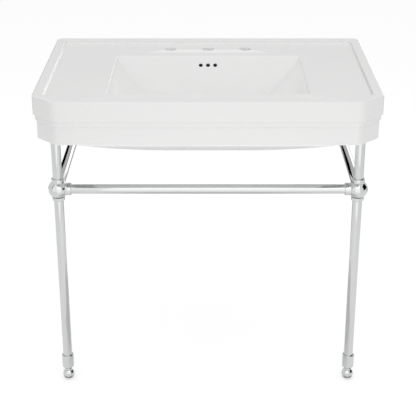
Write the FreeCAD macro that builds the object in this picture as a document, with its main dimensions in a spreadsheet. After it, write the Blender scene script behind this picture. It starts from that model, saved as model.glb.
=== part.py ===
import FreeCAD, Part
import math
import os
from types import SimpleNamespace

import Sketcher

# A wall-held console sink: a vitreous china basin whose front rests on two tubular legs.
# X runs to the right, Y runs towards the wall and Z runs up. The origin lies on the floor,
# below the middle of the basin, and the wall is the plane at half the basin's depth.

doc = FreeCAD.newDocument("ConsoleSink")

# ---------------------------------------------------------------------------
# Driving sizes in millimetres; angles are in degrees
# ---------------------------------------------------------------------------

DRIVING_SIZES = [
    ("basin_width", 838.0),
    ("basin_depth", 572.0),
    ("rim_height", 874.0),
    ("deck_drop", 8.0),
    ("deck_thickness", 16.0),
    ("corner_cut", 54.0),
    ("front_corner_rounding", 30.0),
    ("side_corner_rounding", 12.0),
    ("back_corner_rounding", 18.0),
    ("upper_band", 49.0),
    ("middle_band", 14.0),
    ("lower_band", 47.0),
    ("middle_inset", 4.3),
    ("lower_inset", 8.0),
    ("edge_rounding", 2.5),
    ("border_side", 25.0),
    ("border_front", 20.0),
    ("border_back", 30.0),
    ("border_corner", 23.0),
    ("border_corner_rounding", 9.0),
    ("deck_cove", 5.0),
    ("border_edge_rounding", 2.0),
    ("skirt_thickness", 14.0),
    ("back_wall_thickness", 16.0),
    ("bowl_width", 490.0),
    ("bowl_front", 91.0),
    ("bowl_ledge", 151.0),
    ("bowl_deep", 136.0),
    ("bowl_lip_rounding", 4.0),
    ("bowl_corner_rounding", 6.0),
    ("bowl_floor_half", 42.0),
    ("bowl_side_power", 1.25),
    ("bowl_side_curve", 0.81),
    ("bowl_back_curve", 1.13),
    ("bowl_front_power", 3.0),
    ("bowl_front_curve", 0.68),
    ("drain_setback", 236.0),
    ("drain_radius", 22.5),
    ("drain_seat_radius", 32.0),
    ("drain_seat_depth", 3.0),
    ("overflow_depth", 20.0),
    ("overflow_inset", 22.0),
    ("overflow_radius", 5.2),
    ("overflow_spacing", 19.2),
    ("overflow_reach", 24.0),
    ("back_slope_angle", 41.0),
    ("chamber_width", 54.0),
    ("channel_width", 26.0),
    ("channel_height", 10.0),
    ("channel_inset", 6.0),
    ("channel_drop", 34.0),
    ("channel_rise", 18.0),
    ("channel_entry", 4.5),
    ("chamber_length", 32.0),
    ("belly_inset", 88.0),
    ("belly_front", 14.0),
    ("belly_ledge", 126.0),
    ("belly_deep", 78.0),
    ("belly_floor_half_width", 108.0),
    ("belly_floor_front", 184.0),
    ("belly_floor_back", 330.0),
    ("belly_power", 1.13),
    ("belly_curve", 0.93),
    ("belly_top_rounding", 24.0),
    ("belly_floor_rounding", 35.0),
    ("tap_wall_gap", 84.3),
    ("tap_spacing", 101.6),
    ("tap_hole_radius", 16.5),
    ("tap_lip_rounding", 1.2),
    ("hanger_spacing", 280.0),
    ("hanger_drop", 68.0),
    ("hanger_hole_radius", 6.0),
    ("leg_inset", 29.5),
    ("leg_setback", 198.5),
    ("leg_boss_radius", 20.0),
    ("leg_socket_depth", 14.0),
    ("tube_radius", 12.5),
    ("tube_wall", 1.5),
    ("tube_fit", 0.05),
    ("pad_thickness", 3.0),
    ("pad_gap", 0.7),
    ("plug_head", 2.0),
    ("plug_reach", 14.0),
    ("joint_height", 572.5),
    ("ball_radius", 25.4),
    ("collar_radius", 16.3),
    ("collar_bevel", 1.4),
    ("collar_seat", 19.2),
    ("collar_fit", 0.02),
    ("upright_reach", 30.5),
    ("rail_reach", 34.2),
    ("socket_floor", 15.5),
    ("screw_radius", 2.0),
    ("screw_fit", 0.02),
    ("screw_setback", 5.2),
    ("screw_proud", 0.3),
    ("flange_radius", 18.4),
    ("flange_thickness", 5.0),
    ("flange_collar_reach", 22.0),
    ("flange_hole_radius", 3.2),
    ("flange_edge_rounding", 1.0),
    ("ferrule_radius", 16.2),
    ("ferrule_foot_radius", 11.0),
    ("ferrule_bottom", 33.5),
    ("ferrule_shoulder", 40.0),
    ("ferrule_top", 76.0),
    ("ferrule_bevel", 1.4),
    ("ferrule_floor", 11.5),
    ("stem_hole_radius", 5.6),
    ("stem_radius", 5.0),
    ("stem_fit", 0.06),
    ("stem_length", 36.0),
    ("insert_length", 26.0),
    ("foot_ball_radius", 15.0),
    ("foot_flat", 0.5),
    ("foot_neck_radius", 8.0),
    ("overcut", 1.0),
]


class Size:
    """A length that carries its value together with its spreadsheet formula."""

    def __init__(self, formula, number):
        self.formula = formula
        self.number = number

    def joined(self, sign, other, number, swapped=False):
        first, second = (formula_of(other), self.formula) if swapped else (self.formula, formula_of(other))
        return Size("(" + first + " " + sign + " " + second + ")", number)

    def __add__(self, other):
        return self.joined("+", other, self.number + number_of(other))

    def __sub__(self, other):
        return self.joined("-", other, self.number - number_of(other))

    def __rsub__(self, other):
        return self.joined("-", other, number_of(other) - self.number, swapped=True)

    def __mul__(self, other):
        return self.joined("*", other, self.number * number_of(other))

    def __rmul__(self, other):
        return self.joined("*", other, self.number * number_of(other), swapped=True)

    def __truediv__(self, other):
        return self.joined("/", other, self.number / number_of(other))

    def __pow__(self, other):
        return self.joined("^", other, self.number ** number_of(other))

    def __rpow__(self, other):
        return self.joined("^", other, number_of(other) ** self.number, swapped=True)

    def __neg__(self):
        return 0 - self


def formula_of(item):
    return item.formula if isinstance(item, Size) else repr(float(item))


def number_of(item):
    return item.number if isinstance(item, Size) else float(item)


def read_sizes(table):
    """Fill the spreadsheet and return its cells by name."""
    sheet = doc.addObject("Spreadsheet::Sheet", "Sizes")
    cells = {}
    for row, (alias, value) in enumerate(table, start=1):
        sheet.set("A" + str(row), alias.replace("_", " "))
        sheet.set("B" + str(row), str(value))
        sheet.setAlias("B" + str(row), alias)
        cells[alias] = Size("Sizes." + alias, value)
    doc.recompute()
    return SimpleNamespace(**cells)


size = read_sizes(DRIVING_SIZES)
ROOT_TWO = math.sqrt(2.0)

# Heights and places that several pieces share
half_width = size.basin_width / 2
front = -size.basin_depth / 2
wall = size.basin_depth / 2
deck_height = size.rim_height - size.deck_drop
upper_bottom = size.rim_height - size.upper_band
middle_bottom = upper_bottom - size.middle_band
skirt_bottom = middle_bottom - size.lower_band
leg_x = half_width - size.leg_inset
leg_y = front + size.leg_setback
bore_radius = size.tube_radius + size.tube_fit
drain_y = front + size.drain_setback
bowl_back_y = wall - size.bowl_ledge
belly_back_y = wall - size.belly_ledge
overflow_y = bowl_back_y - size.overflow_inset
tap_y = wall - size.tap_wall_gap
bowl_floor = deck_height - size.bowl_deep
belly_floor = skirt_bottom - size.belly_deep
belly_half_width = half_width - size.belly_inset
tube_bore = size.tube_radius - size.tube_wall
leg_foot = size.ferrule_bottom + size.ferrule_floor
leg_top = skirt_bottom + size.leg_socket_depth - size.pad_thickness - size.plug_head

# ---------------------------------------------------------------------------
# Sketch and feature helpers
# ---------------------------------------------------------------------------

parts = []


def new_body(label):
    body = doc.addObject("PartDesign::Body", label)
    body.Label = label
    parts.append(body)
    return body


def place(item, x=0, y=0, z=0):
    for name, value in (("x", x), ("y", y), ("z", z)):
        item.setExpression("Placement.Base." + name, formula_of(value))


def new_sketch(body, name, plane, offset=0, tilt=None):
    """A sketch on one of the body's origin planes, moved along its normal or tilted about X."""
    sketch = body.newObject("Sketcher::SketchObject", name)
    support = next(item for item in body.Origin.OriginFeatures if item.Role == plane)
    sketch.AttachmentSupport = (support, [""])
    sketch.MapMode = "FlatFace"
    if tilt is not None:
        angle, y, z = tilt
        turned = FreeCAD.Rotation(FreeCAD.Vector(1, 0, 0), number_of(angle))
        sketch.AttachmentOffset = FreeCAD.Placement(FreeCAD.Vector(0, number_of(y), number_of(z)), turned)
        sketch.setExpression("AttachmentOffset.Base.y", formula_of(y))
        sketch.setExpression("AttachmentOffset.Base.z", formula_of(z))
        sketch.setExpression("AttachmentOffset.Rotation.Angle", formula_of(angle))
    elif offset != 0:
        sketch.setExpression("AttachmentOffset.Base.z", formula_of(offset))
    return sketch


def bind(sketch, kind, *where, value):
    index = sketch.addConstraint(Sketcher.Constraint(kind, *where, number_of(value)))
    sketch.setExpression("Constraints[" + str(index) + "]", formula_of(value))


def fix_point(sketch, geometry, end, x, y):
    """Tie a point to its distances from the sketch's origin, or to an axis where one is nil."""
    # In a sketch, the axis across is geometry -1, whose point 1 is the origin, and the upright axis is -2
    for kind, value, axis in (("DistanceX", x, -2), ("DistanceY", y, -1)):
        if isinstance(value, Size):
            bind(sketch, kind, -1, 1, geometry, end, value=value)
        else:
            sketch.addConstraint(Sketcher.Constraint("PointOnObject", geometry, end, axis))


def draw_circle(sketch, radius, x=0, y=0):
    centre = FreeCAD.Vector(number_of(x), number_of(y), 0)
    ring = Part.Circle(centre, FreeCAD.Vector(0, 0, 1), number_of(radius))
    geometry = sketch.addGeometry(ring, False)
    fix_point(sketch, geometry, 3, x, y)
    bind(sketch, "Radius", geometry, value=radius)


def draw_outline(sketch, corners, arcs=None):
    """A closed outline through the corners; arcs maps a side's number to its (centre, radius)."""
    arcs = arcs or {}
    count = len(corners)
    points = [FreeCAD.Vector(number_of(x), number_of(y), 0) for x, y in corners]
    ends = []
    for side in range(count):
        start, stop = points[side], points[(side + 1) % count]
        if side in arcs:
            (centre_x, centre_y), radius = arcs[side]
            centre = FreeCAD.Vector(number_of(centre_x), number_of(centre_y), 0)
            anticlockwise = (start - centre).cross(stop - centre).z > 0
            if not anticlockwise:
                start, stop = stop, start
            first_angle = math.atan2(start.y - centre.y, start.x - centre.x)
            last_angle = math.atan2(stop.y - centre.y, stop.x - centre.x)
            circle = Part.Circle(centre, FreeCAD.Vector(0, 0, 1), number_of(radius))
            geometry = sketch.addGeometry(Part.ArcOfCircle(circle, first_angle, last_angle), False)
            ends.append((geometry, 1, 2) if anticlockwise else (geometry, 2, 1))
            bind(sketch, "Radius", geometry, value=radius)
        else:
            geometry = sketch.addGeometry(Part.LineSegment(start, stop), False)
            ends.append((geometry, 1, 2))
    for side in range(count):
        following = ends[(side + 1) % count]
        joint = (ends[side][0], ends[side][2], following[0], following[1])
        sketch.addConstraint(Sketcher.Constraint("Coincident", *joint))
    for side, (x, y) in enumerate(corners):
        fix_point(sketch, ends[side][0], ends[side][1], x, y)


def draw_rounded_outline(sketch, corners, radii):
    """A closed outline, walked anticlockwise, whose corners are turned into arcs."""
    count = len(corners)
    spots = [(number_of(x), number_of(y)) for x, y in corners]
    points = []
    arcs = {}
    for turn, (x, y) in enumerate(corners):
        here, before, after = spots[turn], spots[turn - 1], spots[(turn + 1) % count]
        arrive = unit_vector(before, here)
        leave = unit_vector(here, after)
        across = arrive[0] * leave[1] - arrive[1] * leave[0]
        bend = math.atan2(across, arrive[0] * leave[0] + arrive[1] * leave[1])
        hand = 1 if bend > 0 else -1
        radius = radii[turn]
        setback = radius * math.tan(abs(bend) / 2)
        start_x, start_y = x - setback * arrive[0], y - setback * arrive[1]
        centre = (start_x - radius * (hand * arrive[1]), start_y + radius * (hand * arrive[0]))
        arcs[len(points)] = (centre, radius)
        points.append((start_x, start_y))
        points.append((x + setback * leave[0], y + setback * leave[1]))
    draw_outline(sketch, points, arcs)


def unit_vector(start, stop):
    length = math.hypot(stop[0] - start[0], stop[1] - start[1])
    return ((stop[0] - start[0]) / length, (stop[1] - start[1]) / length)


def draw_rounded_box(sketch, x_low, x_high, y_low, y_high, radius):
    corners = [(x_low, y_low), (x_high, y_low), (x_high, y_high), (x_low, y_high)]
    draw_rounded_outline(sketch, corners, [radius] * 4)


def extrude(kind, body, sketch, length, other_way=False, both_ways=False):
    feature = body.newObject("PartDesign::" + kind, sketch.Name + kind)
    feature.Profile = sketch
    feature.Reversed = other_way
    if both_ways:
        feature.SideType = "Symmetric"
    feature.setExpression("Length", formula_of(length))
    doc.recompute()
    return feature


def pad(body, sketch, length, other_way=False, both_ways=False):
    return extrude("Pad", body, sketch, length, other_way, both_ways)


def pocket(body, sketch, length, other_way=False, both_ways=False):
    """Cut the sketch into the body, and stop if the cut removes nothing."""
    volume = body.Shape.Volume
    feature = extrude("Pocket", body, sketch, length, other_way, both_ways)
    if not feature.Shape.Volume < volume - 1e-3:
        raise RuntimeError(sketch.Name + " cuts nothing")
    return feature


def revolve(body, sketch, axis="V_Axis"):
    feature = body.newObject("PartDesign::Revolution", sketch.Name + "Turned")
    feature.Profile = sketch
    feature.ReferenceAxis = (sketch, [axis])
    doc.recompute()
    return feature


def finish_edges(kind, body, name, amount, chosen):
    """Round or bevel the edges of the body that the test picks."""
    base = body.Tip
    names = ["Edge" + str(number) for number, edge in enumerate(base.Shape.Edges, start=1) if chosen(edge)]
    if not names:
        raise RuntimeError(name + " finds no edge")
    feature = body.newObject("PartDesign::" + kind, name)
    feature.Base = (base, names)
    feature.setExpression("Radius" if kind == "Fillet" else "Size", formula_of(amount))
    doc.recompute()
    return feature


def round_edges(body, name, radius, chosen):
    return finish_edges("Fillet", body, name, radius, chosen)


def bevel_edges(body, name, amount, chosen):
    return finish_edges("Chamfer", body, name, amount, chosen)


def close_to(first, second):
    return abs(first - number_of(second)) < 0.02


def edge_is_level_at(z, x_reach=math.inf, y_low=-math.inf, y_high=math.inf):
    """Picks level edges at a height, within a band of the plan."""
    def test(edge):
        box = edge.BoundBox
        level = close_to(box.ZMin, z) and close_to(box.ZMax, z)
        inside = max(abs(box.XMin), abs(box.XMax)) < number_of(x_reach) + 0.02
        within = number_of(y_low) - 0.02 < box.YMin and box.YMax < number_of(y_high) + 0.02
        return level and inside and within
    return test


def edge_is_ring(axis, radius, place_on_axis):
    """Picks full circles of a radius about one of the body's axes, at a place along it."""
    def test(edge):
        curve = edge.Curve
        round_edge = hasattr(curve, "Radius") and hasattr(curve, "Center")
        if not round_edge or not close_to(curve.Radius, radius):
            return False
        along = getattr(curve.Center, axis)
        aligned = abs(getattr(curve.Axis, axis)) > 0.999
        return aligned and close_to(along, place_on_axis)
    return test


# ---------------------------------------------------------------------------
# Basin: stepped skirt, bordered deck, bowl, underside
# ---------------------------------------------------------------------------

CORNER_SHRINK = 2.0 - ROOT_TWO


def cut_corner_outline(inset, back_inset=0):
    """The basin's plan, moved inwards: a rectangle with its two front corners cut at 45 degrees."""
    cut = size.corner_cut - inset * CORNER_SHRINK
    side = half_width - inset
    face = front + inset
    back = wall - back_inset
    return [
        (-(side - cut), face), (side - cut, face), (side, face + cut), (side, back),
        (-side, back), (-side, face + cut),
    ]


def corner_radii(inset):
    """The plan's six corners, in the order of its outline, kept parallel when it is moved inwards."""
    front_turn = size.front_corner_rounding - inset
    side_turn = size.side_corner_rounding - inset
    back_turn = size.back_corner_rounding - inset
    return [front_turn, front_turn, side_turn, back_turn, back_turn, side_turn]


def add_skirt_band(basin, name, inset, z_low, height):
    """One band of the skirt with its lower edge rounded."""
    sketch = new_sketch(basin, name, "XY_Plane", z_low)
    draw_rounded_outline(sketch, cut_corner_outline(inset), corner_radii(inset))
    pad(basin, sketch, height)
    round_edges(basin, name + "LowerEdge", size.edge_rounding, edge_is_level_at(z_low))


def bowl_outline(share):
    """Plan of the bowl at a share of its depth: sides sag inwards, the back is a long slope."""
    drop = share ** size.bowl_side_power if share > 0 else 0.0
    plunge = share ** size.bowl_front_power if share > 0 else 0.0
    side_spread = (1 - drop) ** size.bowl_side_curve
    front_spread = (1 - plunge) ** size.bowl_front_curve
    back_spread = Size(repr(1.0 - share), 1.0 - share) ** size.bowl_back_curve
    floor = size.bowl_floor_half
    half = floor + (size.bowl_width / 2 - floor) * side_spread
    near = size.drain_setback - floor - (size.drain_setback - size.bowl_front - floor) * front_spread
    far = drain_y + floor + (bowl_back_y - drain_y - floor) * back_spread
    corner = size.bowl_corner_rounding + (floor * 0.8 - size.bowl_corner_rounding) * share ** 4
    return (-half, half, front + near, far, corner)


def cut_bowl(basin):
    """The bowl is one loft through rounded rectangles that shrink towards the drain."""
    sections = []
    for number, share in enumerate((0.0, 0.12, 0.27, 0.43, 0.58, 0.73, 0.87, 1.0)):
        sketch = new_sketch(basin, "Bowl" + str(number), "XY_Plane", deck_height - size.bowl_deep * share)
        draw_rounded_box(sketch, *bowl_outline(share))
        sections.append(sketch)
    volume = basin.Shape.Volume
    bowl = basin.newObject("PartDesign::SubtractiveLoft", "BowlCut")
    bowl.Profile = sections[0]
    bowl.Sections = sections[1:]
    doc.recompute()
    if not bowl.Shape.Volume < volume:
        raise RuntimeError("the bowl cuts nothing")
    lip = edge_is_level_at(deck_height, size.bowl_width / 2, front + size.bowl_front, bowl_back_y)
    round_edges(basin, "BowlLip", size.bowl_lip_rounding, lip)


def belly_outline(share):
    """Plan of the underside at a share of its depth, drawn in on all sides like a shallow boat."""
    shrink = share ** size.belly_power if share > 0 else 0.0
    inwards = 1 - (1 - shrink) ** size.belly_curve
    half = belly_half_width + (size.belly_floor_half_width - belly_half_width) * inwards
    near = size.belly_front + (size.belly_floor_front - size.belly_front) * inwards
    floor_back_y = front + size.belly_floor_back
    far = belly_back_y + (floor_back_y - belly_back_y) * inwards
    corner = size.belly_top_rounding + (size.belly_floor_rounding - size.belly_top_rounding) * share
    return (-half, half, front + near, far, corner)


def add_belly(basin):
    sections = []
    for number, share in enumerate((0.0, 0.2, 0.42, 0.64, 0.84, 1.0)):
        sketch = new_sketch(basin, "Belly" + str(number), "XY_Plane", skirt_bottom - size.belly_deep * share)
        draw_rounded_box(sketch, *belly_outline(share))
        sections.append(sketch)
    belly = basin.newObject("PartDesign::AdditiveLoft", "BellyShell")
    belly.Profile = sections[0]
    belly.Sections = sections[1:]
    doc.recompute()


def make_basin():
    basin = new_body("basin")
    add_skirt_band(basin, "UpperBand", Size("0.0", 0.0), upper_bottom, size.upper_band)
    round_edges(basin, "RimEdge", size.edge_rounding, edge_is_level_at(size.rim_height))
    add_skirt_band(basin, "MiddleBand", size.middle_inset, middle_bottom, size.middle_band)
    add_skirt_band(basin, "LowerBand", size.lower_inset, skirt_bottom, size.lower_band)

    back_plate = new_sketch(basin, "BackPlate", "XZ_Plane", -wall)
    plate_half = half_width - size.lower_inset - size.back_corner_rounding
    plate_low, plate_high = skirt_bottom + size.edge_rounding, size.rim_height - size.edge_rounding
    draw_outline(back_plate, [
        (-plate_half, plate_low), (plate_half, plate_low), (plate_half, plate_high), (-plate_half, plate_high),
    ])
    pad(basin, back_plate, size.back_wall_thickness)

    recess = new_sketch(basin, "DeckRecess", "XY_Plane", size.rim_height)
    side, near, far = half_width - size.border_side, front + size.border_front, wall - size.border_back
    slant = size.corner_cut + size.border_corner * ROOT_TWO
    recess_front = half_width - slant + size.border_front
    recess_side = front + slant - size.border_side
    draw_rounded_outline(recess, [
        (-recess_front, near), (recess_front, near), (side, recess_side),
        (side, far), (-side, far), (-side, recess_side),
    ], [size.border_corner_rounding] * 6)
    pocket(basin, recess, size.deck_drop)
    round_edges(basin, "DeckCove", size.deck_cove, edge_is_level_at(deck_height))
    inner_edge = edge_is_level_at(size.rim_height, side, near, far)
    round_edges(basin, "BorderEdge", size.border_edge_rounding, inner_edge)

    hollow = new_sketch(basin, "Hollow", "XY_Plane", skirt_bottom)
    inner = cut_corner_outline(size.lower_inset + size.skirt_thickness, size.back_wall_thickness)
    (near_x, near_y), (side_x, side_y), (back_x, back_y) = inner[1], inner[2], inner[3]
    draw_outline(hollow, [
        (belly_half_width, near_y), (near_x, near_y), (side_x, side_y), (back_x, back_y),
        (-back_x, back_y), (-side_x, side_y), (-near_x, near_y), (-belly_half_width, near_y),
        (-belly_half_width, belly_back_y), (belly_half_width, belly_back_y),
    ])
    pocket(basin, hollow, deck_height - size.deck_thickness - skirt_bottom, other_way=True)
    add_belly(basin)

    for side_sign, word in ((-1, "Left"), (1, "Right")):
        boss = new_sketch(basin, word + "LegBoss", "XY_Plane", skirt_bottom)
        draw_circle(boss, size.leg_boss_radius, side_sign * leg_x, leg_y)
        pad(basin, boss, deck_height - size.deck_thickness - skirt_bottom + size.overcut)
        socket = new_sketch(basin, word + "LegSocket", "XY_Plane", skirt_bottom)
        draw_circle(socket, size.tube_radius + size.pad_gap, side_sign * leg_x, leg_y)
        pocket(basin, socket, size.leg_socket_depth, other_way=True)

    cut_bowl(basin)

    seat = new_sketch(basin, "DrainSeat", "XY_Plane", bowl_floor)
    draw_circle(seat, size.drain_seat_radius, 0, drain_y)
    pocket(basin, seat, size.drain_seat_depth)
    drain = new_sketch(basin, "DrainHole", "XY_Plane", bowl_floor)
    draw_circle(drain, size.drain_radius, 0, drain_y)
    pocket(basin, drain, bowl_floor - belly_floor + size.overcut)

    # The overflow: three holes square to the back slope, and a flat channel down to the drain
    slope = (size.back_slope_angle, overflow_y, deck_height - size.overflow_depth)
    overflow = new_sketch(basin, "OverflowHoles", "XY_Plane", tilt=slope)
    for place_in_row in (-1, 0, 1):
        x = place_in_row * size.overflow_spacing if place_in_row else 0
        draw_circle(overflow, size.overflow_radius, x, 0)
    pocket(basin, overflow, size.overflow_reach)
    upper_y = bowl_back_y - size.channel_inset
    upper_z = deck_height - size.channel_drop
    lower_y = drain_y + size.drain_radius - size.channel_entry
    lower_z = belly_floor + size.channel_rise
    fall = (upper_z - lower_z) / (upper_y - lower_y)
    for name, run, width in (
        ("Chamber", size.chamber_length, size.chamber_width),
        ("Duct", upper_y - lower_y, size.channel_width),
    ):
        channel = new_sketch(basin, "Overflow" + name, "YZ_Plane")
        near_y = upper_y - run
        near_z = upper_z - run * fall
        draw_outline(channel, [
            (upper_y, upper_z), (near_y, near_z), (near_y, near_z - size.channel_height),
            (upper_y, upper_z - size.channel_height),
        ])
        pocket(basin, channel, width, both_ways=True)

    taps = new_sketch(basin, "TapHoles", "XY_Plane", deck_height)
    for place_in_row in (-1, 0, 1):
        x = place_in_row * size.tap_spacing if place_in_row else 0
        draw_circle(taps, size.tap_hole_radius, x, tap_y)
    pocket(basin, taps, size.deck_thickness + size.overcut)
    around_taps = edge_is_level_at(
        deck_height, size.tap_spacing + size.tap_hole_radius,
        tap_y - size.tap_hole_radius, tap_y + size.tap_hole_radius)
    round_edges(basin, "TapLips", size.tap_lip_rounding, around_taps)

    hangers = new_sketch(basin, "HangerHoles", "XZ_Plane", -wall)
    for side_sign in (-1, 1):
        x = side_sign * size.hanger_spacing / 2
        draw_circle(hangers, size.hanger_hole_radius, x, size.rim_height - size.hanger_drop)
    pocket(basin, hangers, size.back_wall_thickness + size.overcut, other_way=True)
    return basin


# ---------------------------------------------------------------------------
# Frame: tubes, ball joints, wall flanges
# ---------------------------------------------------------------------------

def make_tube(label, plane, start, length, both_ways=False, other_way=False):
    """A round tube along one axis, drawn as a ring and padded."""
    tube = new_body(label)
    ring = new_sketch(tube, label + "_ring", plane, start)
    draw_circle(ring, size.tube_radius)
    draw_circle(ring, tube_bore)
    pad(tube, ring, length, other_way, both_ways)
    return tube


def joint_ways(inboard):
    """The four ways out of a ball joint: name, plane, against its normal, axis, sign, reach."""
    return (
        ("upper", "XY_Plane", False, "z", 1, size.upright_reach),
        ("lower", "XY_Plane", True, "z", -1, size.upright_reach),
        ("front", "YZ_Plane", inboard < 0, "x", inboard, size.rail_reach),
        ("side", "XZ_Plane", True, "y", 1, size.rail_reach),
    )


def make_corner_joint(label, inboard):
    """A ball with four flat seats for the collars, and a socket for a tube in each."""
    joint = new_body(label)
    ball = new_sketch(joint, label + "_ball", "XZ_Plane")
    quarter = ((0, 0), size.ball_radius)
    poles = [(0, -size.ball_radius), (size.ball_radius, 0), (0, size.ball_radius)]
    draw_outline(ball, poles, {0: quarter, 1: quarter})
    revolve(joint, ball)
    for word, plane, against, _, _, _ in joint_ways(inboard):
        for name, radius, depth in (
            ("seat", size.collar_radius + size.collar_fit, size.collar_seat),
            ("socket", bore_radius, size.socket_floor),
        ):
            start = -depth if against else depth
            cut = new_sketch(joint, label + "_" + word + "_" + name, plane, start)
            draw_circle(cut, radius)
            pocket(joint, cut, size.ball_radius - depth + size.overcut, other_way=not against)
    return joint


def make_collars(word, inboard, x):
    """Four bored collars on the ball's seats, their rims bevelled, each drilled for a set screw."""
    for way, plane, against, axis, sign, reach in joint_ways(inboard):
        label = way + "_collar_" + word
        collar = new_body(label)
        ring = new_sketch(collar, label + "_ring", plane, -size.collar_seat if against else size.collar_seat)
        draw_circle(ring, size.collar_radius)
        draw_circle(ring, bore_radius)
        pad(collar, ring, reach - size.collar_seat, against)
        rim = edge_is_ring(axis, size.collar_radius, sign * reach)
        bevel_edges(collar, label + "_rim", size.collar_bevel, rim)
        hole_place = sign * (reach - size.screw_setback)
        if axis == "z":
            drill = new_sketch(collar, label + "_drill", "XZ_Plane", -(size.tube_radius - size.overcut))
            draw_circle(drill, size.screw_radius + size.screw_fit, 0, hole_place)
        else:
            drill = new_sketch(collar, label + "_drill", "XY_Plane", -(size.tube_radius - size.overcut))
            spot = (hole_place, 0) if axis == "x" else (0, hole_place)
            draw_circle(drill, size.screw_radius + size.screw_fit, *spot)
        pocket(collar, drill, size.collar_radius)
        place(collar, x, leg_y, size.joint_height)


def make_frame():
    for side_sign, word in ((-1, "left"), (1, "right")):
        x = side_sign * leg_x
        inboard = -side_sign
        upper = make_tube(
            "upper_leg_" + word, "XY_Plane", size.joint_height + size.socket_floor,
            leg_top - size.joint_height - size.socket_floor)
        place(upper, x, leg_y)
        lower = make_tube(
            "lower_leg_" + word, "XY_Plane", leg_foot,
            size.joint_height - size.socket_floor - leg_foot)
        place(lower, x, leg_y)
        rail_start = leg_y + size.socket_floor
        rail_end = wall - size.flange_thickness
        rail = make_tube("side_rail_" + word, "XZ_Plane", -rail_start, rail_end - rail_start, other_way=True)
        place(rail, x, 0, size.joint_height)
        joint = make_corner_joint("corner_joint_" + word, inboard)
        place(joint, x, leg_y, size.joint_height)
        make_collars(word, inboard, x)
        make_wall_flange("wall_flange_" + word, x)
        make_joint_screws("joint_screws_" + word, x, inboard)
        make_leg_top("leg_plug_" + word, "leg_pad_" + word, x)
        make_foot(word, x)
    front_rail = make_tube(
        "front_rail", "YZ_Plane", 0, 2 * (leg_x - size.socket_floor), both_ways=True)
    place(front_rail, 0, leg_y, size.joint_height)


def make_wall_flange(label, x):
    """A turned wall socket: a low flange, a bored collar and one hole for a screw into the wall."""
    flange = new_body(label)
    disc = new_sketch(flange, label + "_disc", "XZ_Plane")
    draw_circle(disc, size.flange_radius)
    pad(flange, disc, size.flange_thickness)
    collar = new_sketch(flange, label + "_collar", "XZ_Plane")
    draw_circle(collar, size.collar_radius)
    pad(flange, collar, size.flange_collar_reach)
    rim = edge_is_ring("y", size.collar_radius, -size.flange_collar_reach)
    bevel_edges(flange, label + "_rim", size.collar_bevel, rim)
    outer = edge_is_ring("y", size.flange_radius, -size.flange_thickness)
    round_edges(flange, label + "_edge", size.flange_edge_rounding, outer)
    bore = new_sketch(flange, label + "_bore", "XZ_Plane", size.flange_thickness)
    draw_circle(bore, bore_radius)
    pocket(flange, bore, size.flange_collar_reach, other_way=True)
    hole = new_sketch(flange, label + "_hole", "XZ_Plane")
    draw_circle(hole, size.flange_hole_radius)
    pocket(flange, hole, size.flange_thickness + size.overcut, other_way=True)
    drill = new_sketch(flange, label + "_drill", "XY_Plane", -(size.tube_radius - size.overcut))
    screw_y = size.screw_setback - size.flange_collar_reach
    draw_circle(drill, size.screw_radius + size.screw_fit, 0, screw_y)
    pocket(flange, drill, size.collar_radius)
    place(flange, x, wall, size.joint_height)

    screw = new_body(label.replace("wall_flange", "flange_screw"))
    shank = new_sketch(screw, label + "_shank", "XY_Plane", -(size.collar_radius + size.screw_proud))
    draw_circle(shank, size.screw_radius, 0, screw_y)
    pad(screw, shank, size.collar_radius + size.screw_proud - size.tube_radius)
    place(screw, x, wall, size.joint_height)


def make_joint_screws(label, x, inboard):
    """The four set screws of one ball joint, which grip its four tubes."""
    stub = size.collar_radius + size.screw_proud - size.tube_radius
    outside = size.collar_radius + size.screw_proud
    upright = size.upright_reach - size.screw_setback
    level = size.rail_reach - size.screw_setback
    pieces = []
    for name, turned, base in (
        ("up", True, (0, size.tube_radius, upright)),
        ("down", True, (0, size.tube_radius, -upright)),
        ("inboard", False, (inboard * level, 0, -outside)),
        ("rear", False, (0, level, -outside)),
    ):
        stud = doc.addObject("Part::Cylinder", label + "_" + name)
        stud.setExpression("Radius", formula_of(size.screw_radius))
        stud.setExpression("Height", formula_of(stub))
        if turned:
            stud.Placement.Rotation = FreeCAD.Rotation(FreeCAD.Vector(1, 0, 0), -90)
        place(stud, x + base[0], leg_y + base[1], size.joint_height + base[2])
        pieces.append(stud)
    group = doc.addObject("Part::Compound", label)
    group.Links = pieces
    group.Label = label
    parts.append(group)
    doc.recompute()


def make_leg_top(plug_label, pad_label, x):
    """A plug closes the leg's top, and a soft pad takes up the play under the china."""
    plug = new_body(plug_label)
    shank = new_sketch(plug, plug_label + "_shank", "XY_Plane", leg_top - size.plug_reach)
    draw_circle(shank, tube_bore)
    pad(plug, shank, size.plug_reach)
    head = new_sketch(plug, plug_label + "_head", "XY_Plane", leg_top)
    draw_circle(head, size.tube_radius)
    pad(plug, head, size.plug_head)
    place(plug, x, leg_y)
    disc = new_body(pad_label)
    ring = new_sketch(disc, pad_label + "_disc", "XY_Plane", leg_top + size.plug_head)
    draw_circle(ring, size.tube_radius)
    pad(disc, ring, size.pad_thickness)
    place(disc, x, leg_y)


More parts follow.
